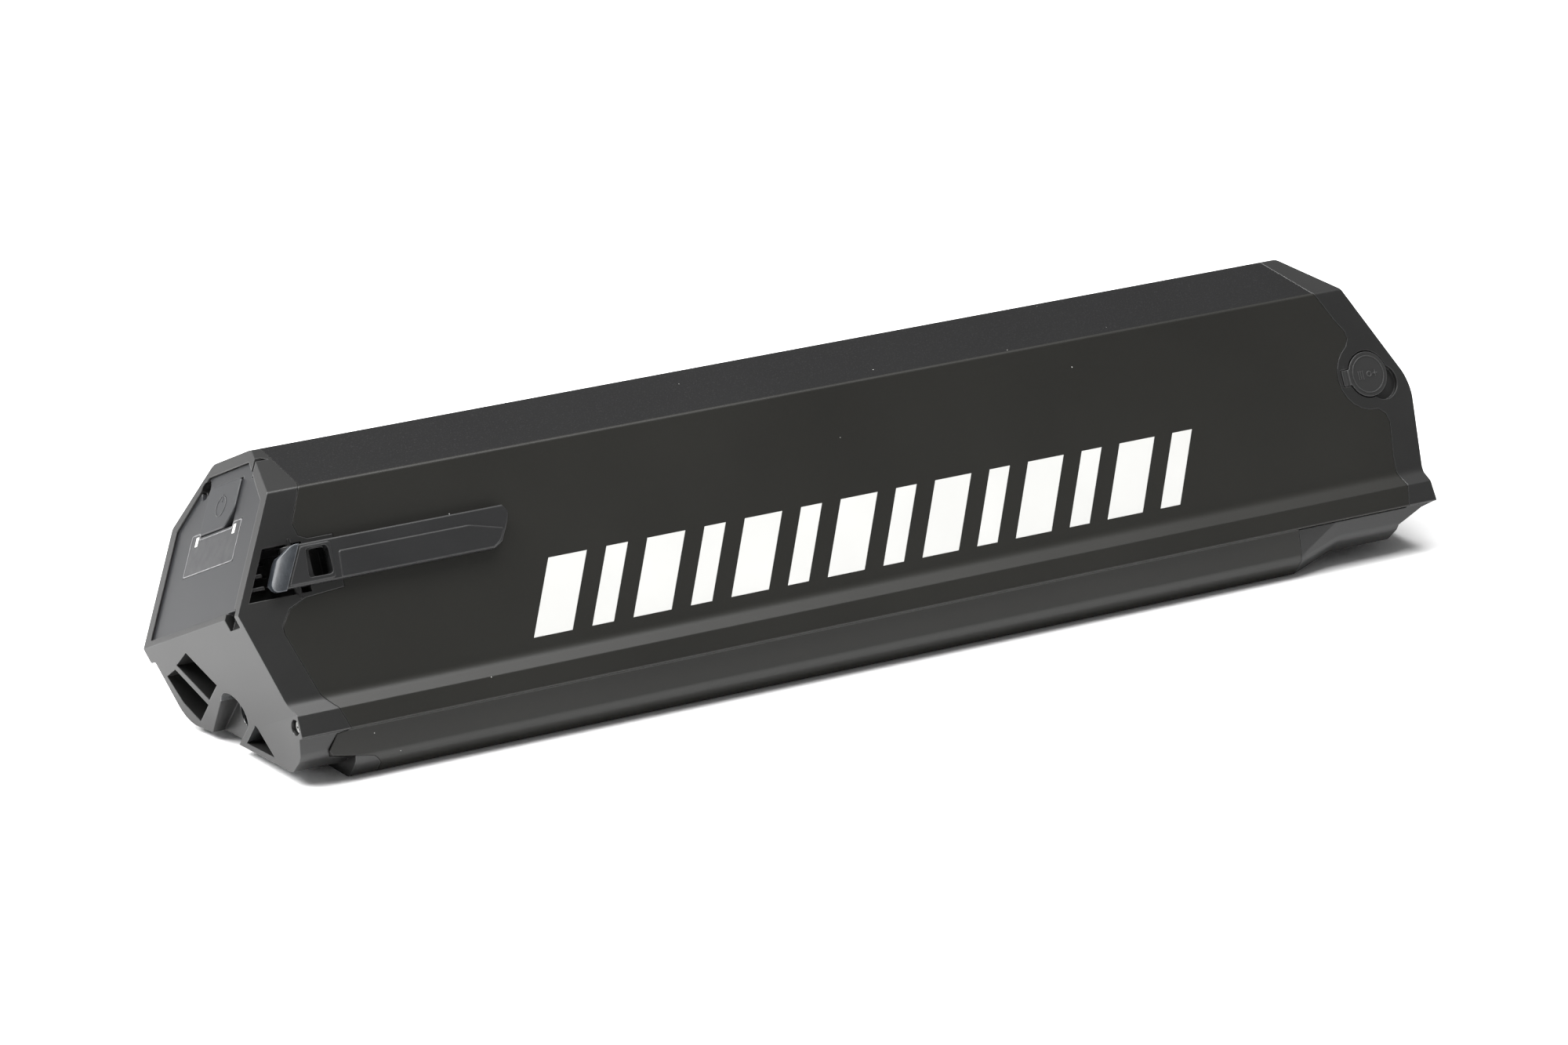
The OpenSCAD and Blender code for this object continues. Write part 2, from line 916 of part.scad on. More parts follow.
// Blends the lifted underside into the tube's own section
module fairing() {
    slice = 0.5;
    start = spigot_x1 - 3;
    intersection() {
        hull() {
            along(start, start + slice)
                polygon(lower_outline(cap_lift_near, cap_lift_far));
            along(tail_foot - slice, tail_foot)
                polygon(lower_outline(0, 0));
        }
        lower_zone(tail_foot + 1, seam_gap);
    }
}

module discharge_hollow() {
    intersection() {
        along(0, far)
            polygon(bore_outline(cap_corners, hollow_in));
        across(-far, far)
            polygon([[port_face + 2.2, port_face], [port_face, 0], [port_face, -far], [far, -far], [far, far],
                [far * panel_lean + 5, far]]);
    }
}

// Boxes in the frame of the underside, from the discharge end
module port_box(x0, x1, g) {
    on_keel()
        translate([x0, port_u - port_w / 2 - g, port_v - port_h / 2 - g])
            cube([x1 - x0, port_w + 2 * g, port_h + 2 * g]);
}

module port_shroud() {
    difference() {
        port_box(port_face - 1, port_face + 4, port_wall + 1.6);
        port_box(port_face, port_face + 5, port_wall);
    }
}

module discharge_socket() {
    color("black")
        laid()
            tail()
                difference() {
                    port_box(port_face, port_face + port_depth + port_back, port_wall);
                    port_box(port_face - 1, port_face + port_depth, 0);
                    blades();
                }
}

// Contact blades in a row across the socket, with tails behind it
blade_pitch = (port_w - 2 * blade_margin) / (blade_count - 1);
function blade_u(k) = port_u - port_w / 2 + blade_margin + k * blade_pitch;
module blades() {
    on_keel()
        for (k = [0 : blade_count - 1])
            translate([port_face + port_depth - blade_out, blade_u(k) - blade_t / 2, port_v - blade_h / 2])
                cube([blade_out + port_back + blade_tail, blade_t, blade_h]);
}

module discharge_contacts() {
    color("gold")
        laid()
            tail()
                blades();
}

module vent_membrane() {
    color("white")
        laid()
            tail()
                rod_x(vent_r + 3, port_face, port_face + 0.4, vent_y, vent_z);
}

// Recess for the charge port's cover, its hinge and a fingertip
module cover_recess() {
    rod_y(cover_r + 0.5, cover_x, -half_w - 1, -half_w + cover_t + jack_flange_t, cover_z);
    rod_y(6.8, cover_x - 6, -half_w - 1, -half_w + 1.8, cover_z - 4);
    block([cover_x + cover_r - 2, -half_w - 1, cover_z - cover_knuckle_h / 2 - part_gap],
        [cover_pin_x + cover_knuckle_r + 0.4, -half_w + cover_pin_in + cover_knuckle_r + 0.4,
            cover_z + cover_knuckle_h / 2 + part_gap]);
    cover_hinge_rod(cover_pin_r, 1.6);
    rod_y(jack_r + 1.6, cover_x, -half_w, -half_w + jack_pad + 1, cover_z);
}

module cover_hinge_rod(r, extra) {
    translate([cover_pin_x, -half_w + cover_pin_in, cover_z - cover_knuckle_h / 2 - extra])
        cylinder(r = r, h = cover_knuckle_h + 2 * extra);
}

module charge_cover_pin() {
    color("silver")
        laid()
            tail()
                cover_hinge_rod(cover_pin_r, 1.6);
}

module charge_port_cover() {
    color([0.12, 0.12, 0.12])
        laid()
            tail()
                difference() {
                    union() {
                        rod_y(cover_r, cover_x, cover_y, cover_y + cover_t, cover_z);
                        rod_y(jack_r - 0.9, cover_x, cover_y + cover_t - 0.1, cover_y + cover_t + 2, cover_z);
                        cover_hinge_rod(cover_knuckle_r, 0);
                        block([cover_x + cover_r - 1.5, cover_y, cover_z - cover_knuckle_h / 2],
                            [cover_pin_x, cover_y + 2, cover_z + cover_knuckle_h / 2]);
                    }
                    cover_hinge_rod(cover_pin_r + run_gap, 1);
                }
}

module charge_socket() {
    seat = -half_w + cover_t;
    color("dimgray")
        laid()
            tail() {
                difference() {
                    union() {
                        rod_y(jack_r + 2.9, cover_x, seat, seat + jack_flange_t, cover_z);
                        rod_y(jack_r + 1.5, cover_x, seat, seat + jack_len, cover_z);
                    }
                    rod_y(jack_r, cover_x, seat - 1, seat + 11, cover_z);
                }
                rod_y(1, cover_x, seat + 3, seat + 11.5, cover_z);
            }
}

module charge_socket_nut() {
    color("silver")
        laid()
            tail()
                difference() {
                    rod_y(jack_r + 3.8, cover_x, -half_w + jack_pad, -half_w + jack_pad + 2.5, cover_z);
                    rod_y(jack_r + 1.55, cover_x, -half_w, 0, cover_z);
                }
}

// Cells, their holders, strips and sheets
hold_x0 = first_x - cell_r - holder_rim;
hold_x1 = pack_len - hold_x0;
hold_z0 = row_z[2] - cell_r - holder_rim;
hold_z1 = row_z[0] + cell_r + holder_rim;

module each_cell(row) {
    for (i = [0 : row_count - (row == 1 ? 1 : 2)])
        translate([first_x + (i + (row == 1 ? 0 : 0.5)) * cell_pitch, 0, row_z[row]])
            children();
}

module cell_row(row) {
    color("steelblue")
        laid()
            each_cell(row) {
                rod_y(cell_r, 0, cell_y0 + 0.5, cell_y1, 0);
                rod_y(cell_r * 0.35, 0, cell_y0, cell_y0 + 0.6, 0);
            }
}

module cell_row_top() {
    cell_row(0);
}

module cell_row_middle() {
    cell_row(1);
}

module cell_row_bottom() {
    cell_row(2);
}

module cell_holder(y0) {
    color("black")
        laid()
            difference() {
                block([hold_x0, y0, hold_z0], [hold_x1, y0 + holder_t, hold_z1]);
                for (row = [0 : 2])
                    each_cell(row)
                        rod_y(cell_r + run_gap, 0, y0 - 1, y0 + holder_t + 1, 0);
            }
}

module cell_holder_near() {
    cell_holder(cell_y0);
}

module cell_holder_far() {
    cell_holder(cell_y1 - holder_t);
}

module holder_tie_rods() {
    color("silver")
        laid()
            for (x = [hold_x0 + 4, hold_x1 - 4])
                for (z = [row_z[0] + 2, row_z[2] - 2])
                    rod_y(2.5, x, cell_y0 + holder_t, cell_y1 - holder_t, z);
}

module strips(first, y0) {
    color([0.8, 0.8, 0.78])
        laid()
            for (i = [first : 2 : row_count - 2])
                block([first_x + i * cell_pitch - 8, y0, row_z[2] - 5],
                    [first_x + (i + 1) * cell_pitch + 8, y0 + strip_t, row_z[0] + 5]);
}

module nickel_strips_near() {
    strips(0, cell_y0 - strip_t);
}

module nickel_strips_far() {
    strips(1, cell_y1);
}

module sheet(y0) {
    color([0.75, 0.8, 0.7])
        laid()
            block([hold_x0, y0, hold_z0], [hold_x1, y0 + sheet_t, hold_z1]);
}

module insulation_sheet_near() {
    sheet(cell_y0 - strip_t - sheet_t);
}

module insulation_sheet_far() {
    sheet(cell_y1 + strip_t);
}

module foam_pad_top() {
    side_y = crown_half + 8;
    color("dimgray")
        laid()
            along(hold_x0, hold_x1)
                polygon([[-side_y, hold_z1], [side_y, hold_z1], [side_y - 2, hold_z1 + 3],
                    [crown_half - 2, crown_z - 12], [crown_half - 4, crown_z - tube_wall],
                    [4 - crown_half, crown_z - tube_wall], [2 - crown_half, crown_z - 12],
                    [2 - side_y, hold_z1 + 3]]);
}

module foam_pads_end() {
    color("dimgray")
        laid()
            for (x = [spigot_x1, hold_x1])
                for (y = [cell_y0, cell_y1 - 9])
                    block([x, y, hold_z0 + 3], [x + hold_x0 - spigot_x1, y + 9, hold_z1 - 6]);
}

// Electronics, on a plate that lies on the inside of the underside
module bms_heat_plate() {
    color("silver")
        laid()
            on_keel()
                block([board_x, board_u, tube_wall],
                    [board_x + board_len, board_u + board_w, tube_wall + plate_t]);
}

parts_v = tube_wall + plate_t;
parts_t = 2.3;
board_v = parts_v + parts_t;

// A row of flat packages between the board and the plate
module power_parts(count, x, u, width) {
    pitch = board_len / (count + 1);
    for (k = [0 : count - 1])
        block([x + k * pitch, u, parts_v], [x + k * pitch + 10, u + width, board_v]);
}

module bms_power_parts() {
    color("black")
        laid()
            on_keel() {
                power_parts(8, board_x + 12, board_u + 4, 15);
                power_parts(4, board_x + 14, board_u + 26, 10);
            }
}

module bms_board() {
    color("darkgreen")
        laid()
            on_keel()
                block([board_x, board_u, board_v], [board_x + board_len, board_u + board_w, board_v + board_t]);
}

board_top = board_v + board_t;
keel_c = cos(rest_tilt);
keel_s = sin(rest_tilt);
function from_keel(x, u, v) = [x, keel_y + u * keel_c - v * keel_s, keel_z + u * keel_s + v * keel_c];

// Wires: from the board to both ports, to the cells and to the control board
lead_r = 2;
thin_lead_r = 1.5;
wire_r = 0.8;
blade_end = pack_len - port_face - port_depth - port_back - blade_tail;
function blade_tip(k) = from_keel(blade_end, blade_u(k), port_v);
fuse_x = hold_x1 + 8;

module main_fuse() {
    color("orange")
        laid()
            block([hold_x1, -9, 4], [hold_x1 + 8, 9, 22]);
}

module positive_lead() {
    tip = blade_tip(blade_count - 1);
    color("red")
        laid()
            lead([tip, tip + [-3, 0, 0], [fuse_x + 5, 2, 12], [fuse_x, 2, 12]], lead_r);
}

module negative_lead() {
    tip = blade_tip(0);
    x1 = board_x + board_len;
    color("black")
        laid()
            lead([tip, tip + [-4, 0, 0], from_keel(x1 + 60, board_u + 14, board_top + 6),
                from_keel(x1 + 10, board_u + 10, board_top + 7), from_keel(x1 - 4, board_u + 10, board_top + 6),
                from_keel(x1 - 6, board_u + 10, board_top + 3), from_keel(x1 - 6, board_u + 10, board_top)],
                thin_lead_r);
}

module charge_lead() {
    start = [pack_len - cover_x, -half_w + cover_t + jack_len, cover_z];
    x1 = board_x + board_len;
    color("red")
        laid()
            lead([start, start + [0, 3, 0], start + [-8, 8, -1], [pack_len - 45, -4, -4],
                [hold_x1 + 10, -8, -16], from_keel(hold_x1 - 6, board_u + 30, board_top + 7),
                from_keel(x1 + 10, board_u + 30, board_top + 6),
                from_keel(x1 - 3, board_u + 30, board_top + 4.5),
                from_keel(x1 - 5, board_u + 30, board_top + 2),
                from_keel(x1 - 5, board_u + 30, board_top)], wire_r);
}

module control_harness() {
    color("white")
        laid()
            lead([harness_start, harness_start + 3 * [cos(panel_tilt), 0, -sin(panel_tilt)], [36, 15, 2],
                [46, 17, -10], [56, 14, -22], from_keel(90, board_u + 24, board_top + 4),
                from_keel(board_x - 10, board_u + 20, board_top + 5),
                from_keel(board_x + 3, board_u + 20, board_top + 4.5),
                from_keel(board_x + 5, board_u + 20, board_top + 2),
                from_keel(board_x + 5, board_u + 20, board_top)], wire_r);
}

// A point on the back of the control board
harness_s = 26;
harness_start = [harness_s * sin(panel_tilt) + (board_depth + board_t) * cos(panel_tilt), 10,
    harness_s * cos(panel_tilt) - (board_depth + board_t) * sin(panel_tilt)];

housing_extrusion();
control_end_cap();
control_panel();
power_button();
indicator_window();
indicator_light_pipes();
control_board();
tact_switch();
pull_handle();
handle_pin();
lock_bush();
control_end_gasket();
control_end_screws();
discharge_end_cap();
discharge_socket();
discharge_contacts();
discharge_end_gasket();
discharge_end_screws();
charge_port_cover();
charge_cover_pin();
charge_socket();
charge_socket_nut();
cell_holder_near();
cell_holder_far();
cell_row_top();
cell_row_middle();
cell_row_bottom();
nickel_strips_near();
nickel_strips_far();
insulation_sheet_near();
insulation_sheet_far();
holder_tie_rods();
bms_board();
bms_power_parts();
bms_heat_plate();
main_fuse();
positive_lead();
negative_lead();
charge_lead();
control_harness();
foam_pad_top();
foam_pads_end();
vent_membrane();
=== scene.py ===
"""Looks of the side-release battery pack: its outer pieces, their finishes, the table and the light.

The pack is modelled upright, as it sits on its rail: x from the control end to the discharge end,
y to the far side, z up from the fold of the end caps. It is then laid down on its slanted underside.
"""

from __future__ import annotations

import json
import logging
import math
from dataclasses import dataclass
from enum import Enum
from typing import Any, Callable, Iterable, Sequence

import bpy
from mathutils import Matrix, Vector

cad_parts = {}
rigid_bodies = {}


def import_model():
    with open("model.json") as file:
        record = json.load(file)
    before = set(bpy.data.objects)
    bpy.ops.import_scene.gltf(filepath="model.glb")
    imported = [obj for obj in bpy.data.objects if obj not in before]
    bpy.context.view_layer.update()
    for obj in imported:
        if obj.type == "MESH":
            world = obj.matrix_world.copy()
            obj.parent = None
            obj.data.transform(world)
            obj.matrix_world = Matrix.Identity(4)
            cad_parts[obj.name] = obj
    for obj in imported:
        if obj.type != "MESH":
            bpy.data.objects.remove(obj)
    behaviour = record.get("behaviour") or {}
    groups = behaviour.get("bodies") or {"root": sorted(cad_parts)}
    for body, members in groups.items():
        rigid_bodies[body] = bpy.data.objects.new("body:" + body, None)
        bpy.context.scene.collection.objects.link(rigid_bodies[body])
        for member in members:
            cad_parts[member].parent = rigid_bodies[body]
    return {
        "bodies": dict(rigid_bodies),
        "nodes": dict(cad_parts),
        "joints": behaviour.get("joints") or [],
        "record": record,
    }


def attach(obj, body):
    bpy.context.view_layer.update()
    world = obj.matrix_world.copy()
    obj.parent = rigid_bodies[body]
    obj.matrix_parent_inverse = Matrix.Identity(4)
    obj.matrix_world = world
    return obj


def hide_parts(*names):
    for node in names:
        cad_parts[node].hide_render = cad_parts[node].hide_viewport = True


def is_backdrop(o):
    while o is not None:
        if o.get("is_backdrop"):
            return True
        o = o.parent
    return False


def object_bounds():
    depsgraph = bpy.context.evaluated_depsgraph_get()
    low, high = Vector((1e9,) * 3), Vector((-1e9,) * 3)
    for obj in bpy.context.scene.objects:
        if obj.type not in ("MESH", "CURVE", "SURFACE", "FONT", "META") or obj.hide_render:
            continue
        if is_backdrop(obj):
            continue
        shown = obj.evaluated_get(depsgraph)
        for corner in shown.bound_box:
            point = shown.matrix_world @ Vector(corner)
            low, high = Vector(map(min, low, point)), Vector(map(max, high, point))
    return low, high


LOG = logging.getLogger("battery_pack")
MM = 0.001
Point = tuple[float, ...]
Colour = tuple[float, float, float]

REST_TILT = math.radians(25)
SECTION_SHIFT = (2.977, 44.056)
HALF_WIDTH = 40.0
PANEL_TILT = math.radians(28.4)


# ---------------------------------------------------------------- places


class Place(Enum):
    """A flat working plane on the pack, with its own x, y and outward z."""

    NEAR_SIDE = "near side"
    PANEL = "panel"
    TAIL_SIDE = "near side, measured from the discharge end"
    UPRIGHT = "the upright pack itself"

    def matrix(self, length: float) -> Matrix:
        """Turns the plane's own millimetres into the laid pack's metres.

        Args:
            length: the pack's length in millimetres.

        Returns:
            The matrix that a mesh made in this plane is transformed by.
        """
        if self is Place.UPRIGHT:
            return laid(length)
        if self is Place.PANEL:
            plane = Matrix.Rotation(PANEL_TILT - math.pi / 2, 4, "Y") @ Matrix.Rotation(-math.pi / 2, 4, "Z")
        else:
            plane = Matrix.Rotation(math.pi / 2, 4, "X")
        if self is Place.TAIL_SIDE:
            plane = Matrix.Translation((length, 0, 0)) @ plane
        return laid(length) @ plane


def laid(length: float) -> Matrix:
    """Lays the upright pack down on its slanted underside.

    Args:
        length: the pack's length in millimetres.

    Returns:
        The matrix from upright millimetres to metres in the frame's own axes.
    """
    shift = Matrix.Translation((-length / 2, *SECTION_SHIFT))
    return Matrix.Scale(MM, 4) @ shift @ Matrix.Rotation(-REST_TILT, 4, "X")


# ---------------------------------------------------------------- shader tools


class Value:
    """One output socket of a shader tree, which takes Python's arithmetic."""

    def __init__(self, tree: "Tree", socket: bpy.types.NodeSocket | None) -> None:
        """Keeps the tree and the socket."""
        self.tree = tree
        self.socket = socket

    def _math(self, operation: str, first: Any, second: Any) -> "Value":
        """Adds one Math node.

        Args:
            operation: the Math node's operation.
            first: its first value or link.
            second: its second value or link.

        Returns:
            The node's result.
        """
        return self.tree.add("ShaderNodeMath", {"operation": operation}, {0: first, 1: second})

    def __add__(self, other: Any) -> "Value":
        """Adds."""
        return self._math("ADD", self, other)

    __radd__ = __add__

    def __sub__(self, other: Any) -> "Value":
        """Subtracts."""
        return self._math("SUBTRACT", self, other)

    def __rsub__(self, other: Any) -> "Value":
        """Subtracts from a number."""
        return self._math("SUBTRACT", other, self)

    def __mul__(self, other: Any) -> "Value":
        """Multiplies."""
        return self._math("MULTIPLY", self, other)

    __rmul__ = __mul__

    def __gt__(self, other: Any) -> "Value":
        """Gives 1 where it is greater."""
        return self._math("GREATER_THAN", self, other)

    def __lt__(self, other: Any) -> "Value":
        """Gives 1 where it is less."""
        return self._math("LESS_THAN", self, other)


class Tree:
    """A material's shader tree, built from one node-making method."""

    def __init__(self, name: str) -> None:
        """Makes an empty material.

        Args:
            name: the material's name.
        """
        self.material = bpy.data.materials.new(name)
        self.material.use_nodes = True
        self.nodes = self.material.node_tree.nodes
        self.links = self.material.node_tree.links
        self.nodes.clear()

    def add(self, kind: str, settings: dict[str, Any] | None = None, inputs: dict[Any, Any] | None = None,
            output: int | str = 0) -> Value:
        """Adds a node, sets it, then fills or links its sockets.

        Args:
            kind: the node's type.
            settings: its properties; "stops" are a colour ramp's (place, colour) pairs.
            inputs: values or links, by socket name or number.
            output: the socket that is handed back.

        Returns:
            The chosen output.
        """
        node = self.nodes.new(kind)
        for key, value in (settings or {}).items():
            if key == "stops":
                self._stops(node.color_ramp, value)
            else:
                setattr(node, key, value)
        for key, value in (inputs or {}).items():
            if isinstance(value, Value):
                self.links.new(value.socket, node.inputs[key])
            else:
                node.inputs[key].default_value = value
        return Value(self, node.outputs[output] if node.outputs else None)

    def surface(self, shader: Value) -> bpy.types.Material:
        """Ends the tree in its output and hands back the material."""
        self.add("ShaderNodeOutputMaterial", {}, {"Surface": shader})
        return self.material

    @staticmethod
    def _stops(ramp: bpy.types.ColorRamp, stops: Sequence[tuple[float, Colour]]) -> None:
        """Sets a ramp's stops.

        Args:
            ramp: the ramp.
            stops: (place, colour) pairs, in order.
        """
        while len(ramp.elements) < len(stops):
            ramp.elements.new(1.0)
        for element, (place, colour) in zip(ramp.elements, stops):
            element.position = place
            element.color = (*colour, 1.0)

    def noise(self, coords: Value, size_mm: float, detail: float = 2.0) -> Value:
        """Adds a noise pattern.

        Args:
            coords: where it is read.
            size_mm: the size of its spots.
            detail: its octaves.

        Returns:
            A value about 0.5.
        """
        return self.add("ShaderNodeTexNoise", {}, {"Vector": coords, "Scale": 1 / (size_mm * MM), "Detail": detail})

    def mix(self, factor: Any, first: Any, second: Any) -> Value:
        """Mixes two colours.

        Args:
            factor: how much of the second.
            first: the first colour or link.
            second: the second colour or link.

        Returns:
            The mixed colour.
        """
        def rgba(value: Any) -> Any:
            """Adds an alpha to a plain colour."""
            return value if isinstance(value, Value) else (*value, 1.0)

        return self.add("ShaderNodeMix", {"data_type": "RGBA"}, {0: factor, 6: rgba(first), 7: rgba(second)}, 2)


@dataclass(frozen=True)
class Finish:
    """A surface finish: colour, gloss, grain, edges lightened or darkened as wear and as painted edge highlight and
    painted seam shade, and dust.
    """

    name: str
    colour: Colour
    roughness: float
    metallic: float = 0.0
    variation: float = 0.15
    blotch_mm: float = 30.0
    gloss_change: float = 0.08
    grain_mm: float = 0.35
    grain_mm_deep: float = 0.03
    edge_mm: float = 0.35
    # The colour that edges are mixed toward, and how much: lighter edges stand for wear and for painted highlights,
    # near-black edges for painted shade in seams.
    edge_colour: Colour = (0.12, 0.12, 0.12)
    edge_amount: float = 0.35
    dust: float = 0.0
    coat: float = 0.0
    specular: float = 0.5
    fleck: float = 0.0

    def material(self) -> bpy.types.Material:
        """Builds the finish's material.

        Returns:
            The material.
        """
        tree = Tree(self.name)
        coords = tree.add("ShaderNodeTexCoord", output="Object")
        blotch = tree.noise(coords, self.blotch_mm, 4.0)
        grain = tree.noise(coords, self.grain_mm, 3.0)
        dark = tuple(c * (1 - self.variation) for c in self.colour)
        light = tuple(min(1.0, c * (1 + self.variation)) for c in self.colour)
        colour = tree.mix((blotch - 0.5) * 1.8 + 0.5, dark, light)
        if self.fleck:
            colour = tree.mix((grain > 0.62) * self.fleck, colour, tuple(c * 2.2 + 0.01 for c in self.colour))
        rounded = tree.add("ShaderNodeBevel", {"samples": 4}, {"Radius": self.edge_mm * MM})
        flat = tree.add("ShaderNodeNewGeometry", output="Normal")
        facing = tree.add("ShaderNodeVectorMath", {"operation": "DOT_PRODUCT"}, {0: rounded, 1: flat}, "Value")
        edge = tree.add("ShaderNodeMath", {"operation": "MULTIPLY", "use_clamp": True}, {0: 1 - facing, 1: 6.0})
        # Patchy edge mask: mixes edges toward the edge colour, partly as wear and partly as painted highlight or
        # painted shade along seams and edges.
        edge_wear_and_light = edge * (grain + 0.2)
        colour = tree.mix(edge_wear_and_light * self.edge_amount, colour, self.edge_colour)
        rough = (blotch - 0.5) * self.gloss_change + self.roughness
        rough = rough - edge_wear_and_light * 0.06
        if self.dust:
            colour = tree.mix(self._dust(tree, coords) * self.dust, colour, (0.6, 0.6, 0.58))
        bump = tree.add("ShaderNodeBump", {}, {
            "Strength": 1.0, "Distance": self.grain_mm_deep * MM, "Height": grain, "Normal": rounded})
        shader = tree.add("ShaderNodeBsdfPrincipled", {}, {
            "Base Color": colour, "Roughness": rough, "Metallic": self.metallic, "Normal": bump,
            "Coat Weight": self.coat, "Coat Roughness": 0.2, "Specular IOR Level": self.specular})
        return tree.surface(shader)

    @staticmethod
    def _dust(tree: Tree, coords: Value) -> Value:
        """Scatters small specks of dust.

        Args:
            tree: the tree it is added to.
            coords: where it is read.

        Returns:
            1 on a speck, 0 elsewhere.
        """
        settings = {"feature": "F1"}
        inputs = {"Vector": coords, "Scale": 85.0}
        near = tree.add("ShaderNodeTexVoronoi", settings, inputs, "Distance")
        cell = tree.add("ShaderNodeTexVoronoi", settings, inputs, "Color")
        pick = tree.add("ShaderNodeSeparateColor", {}, {"Color": cell})
        size = pick * 0.02
        return (near < size) * (pick > 0.45)


@dataclass(frozen=True)
class Palette:
    """Every finish on the pack, by its material slot."""

    # Its near-black edge colour paints shade into the seams and along the rounded edges.
    black_coated_aluminium: Finish = Finish(
        "satin_black_aluminium", (0.0105, 0.0102, 0.0085), 0.4, variation=0.12, blotch_mm=70, grain_mm=0.3,
        grain_mm_deep=0.008, edge_colour=(0.002, 0.002, 0.002), edge_amount=0.95, edge_mm=0.6, dust=0.8,
        specular=0.42, fleck=0.15)
    # Its near-black edge colour paints shade along its rounded edges.
    chamfer_coating: Finish = Finish(
        "coarse_black_coating", (0.004, 0.004, 0.0042), 0.6, variation=0.15, blotch_mm=60, grain_mm=0.55,
        grain_mm_deep=0.05, edge_colour=(0.001, 0.001, 0.001), edge_amount=0.9, edge_mm=0.6, dust=0.7,
        specular=0.22, fleck=0.5)
    # Its lighter edges are partly wear and partly painted highlight along the cap's edges.
    cap_plastic: Finish = Finish(
        "moulded_cap_plastic", (0.0112, 0.0112, 0.011), 0.38, grain_mm=0.22, grain_mm_deep=0.008,
        edge_amount=0.55, edge_mm=0.5, dust=0.6, fleck=0.2)
    # Its pale edge colour is a painted highlight along the channel's edges.
    lock_polish: Finish = Finish(
        "polished_lock_channel", (0.22, 0.225, 0.23), 0.16, metallic=0.8, grain_mm=0.4, grain_mm_deep=0.003,
        edge_colour=(0.5, 0.5, 0.5), edge_amount=0.5)
    dark_steel: Finish = Finish(
        "blackened_steel", (0.03, 0.03, 0.03), 0.35, metallic=0.6, grain_mm=0.2, grain_mm_deep=0.006)
    # Its lighter edges are partly wear and partly painted highlight along the panel's rim.
    panel_plastic: Finish = Finish(
        "satin_panel_plastic", (0.0115, 0.0122, 0.0138), 0.36, grain_mm=0.25, grain_mm_deep=0.016, edge_amount=0.8,
        edge_mm=0.5, dust=1.0, specular=0.4)
    button_plastic: Finish = Finish(
        "soft_button_plastic", (0.0145, 0.0155, 0.0175), 0.46, grain_mm=0.25, grain_mm_deep=0.014, edge_amount=0.5)
    window_film: Finish = Finish(
        "printed_film", (0.014, 0.0145, 0.016), 0.34, blotch_mm=5, gloss_change=0.3, grain_mm=4.0,
        grain_mm_deep=0.05, edge_amount=0.2)
    light_pipe: Finish = Finish(
        "milky_light_pipe", (0.6, 0.6, 0.58), 0.3, grain_mm=0.8, grain_mm_deep=0.002, variation=0.03,
        edge_amount=0.1)
    circuit_board: Finish = Finish(
        "green_circuit_board", (0.01, 0.12, 0.05), 0.35, blotch_mm=6, grain_mm=1.2, grain_mm_deep=0.02,
        edge_colour=(0.3, 0.28, 0.15), fleck=0.5)
    black_plastic: Finish = Finish("black_moulding", (0.02, 0.02, 0.02), 0.5)
    # Its lighter edges are partly wear and partly painted highlight along the arm's edges.
    handle_plastic: Finish = Finish(
        "handle_plastic", (0.0105, 0.0107, 0.0112), 0.42, grain_mm=0.3, grain_mm_deep=0.014, edge_amount=0.4,
        edge_mm=0.5, dust=0.9, fleck=0.2)
    # Its pale blue-grey edge colour is a painted highlight along the lip's rounded edges.
    lip_plastic: Finish = Finish(
        "handle_lip_plastic", (0.019, 0.022, 0.026), 0.42, grain_mm=0.45, grain_mm_deep=0.03, variation=0.3,
        blotch_mm=2.5, edge_colour=(0.3, 0.32, 0.35), edge_amount=0.7, edge_mm=0.7, fleck=0.4)
    # Its pale edge colour is a painted glint along the screw head's edges.
    steel: Finish = Finish(
        "zinc_plated_steel", (0.55, 0.55, 0.54), 0.3, metallic=1.0, grain_mm=0.2, grain_mm_deep=0.006,
        edge_colour=(0.8, 0.8, 0.8))
    gasket_rubber: Finish = Finish("gasket_rubber", (0.03, 0.03, 0.03), 0.7)
    # Its lighter edge colour is partly wear and partly painted highlight along the cover's edges.
    cover_rubber: Finish = Finish(
        "cover_rubber", (0.017, 0.017, 0.017), 0.46, grain_mm=0.25, grain_mm_deep=0.012, edge_amount=0.7,
        edge_mm=0.4, edge_colour=(0.16, 0.16, 0.16))
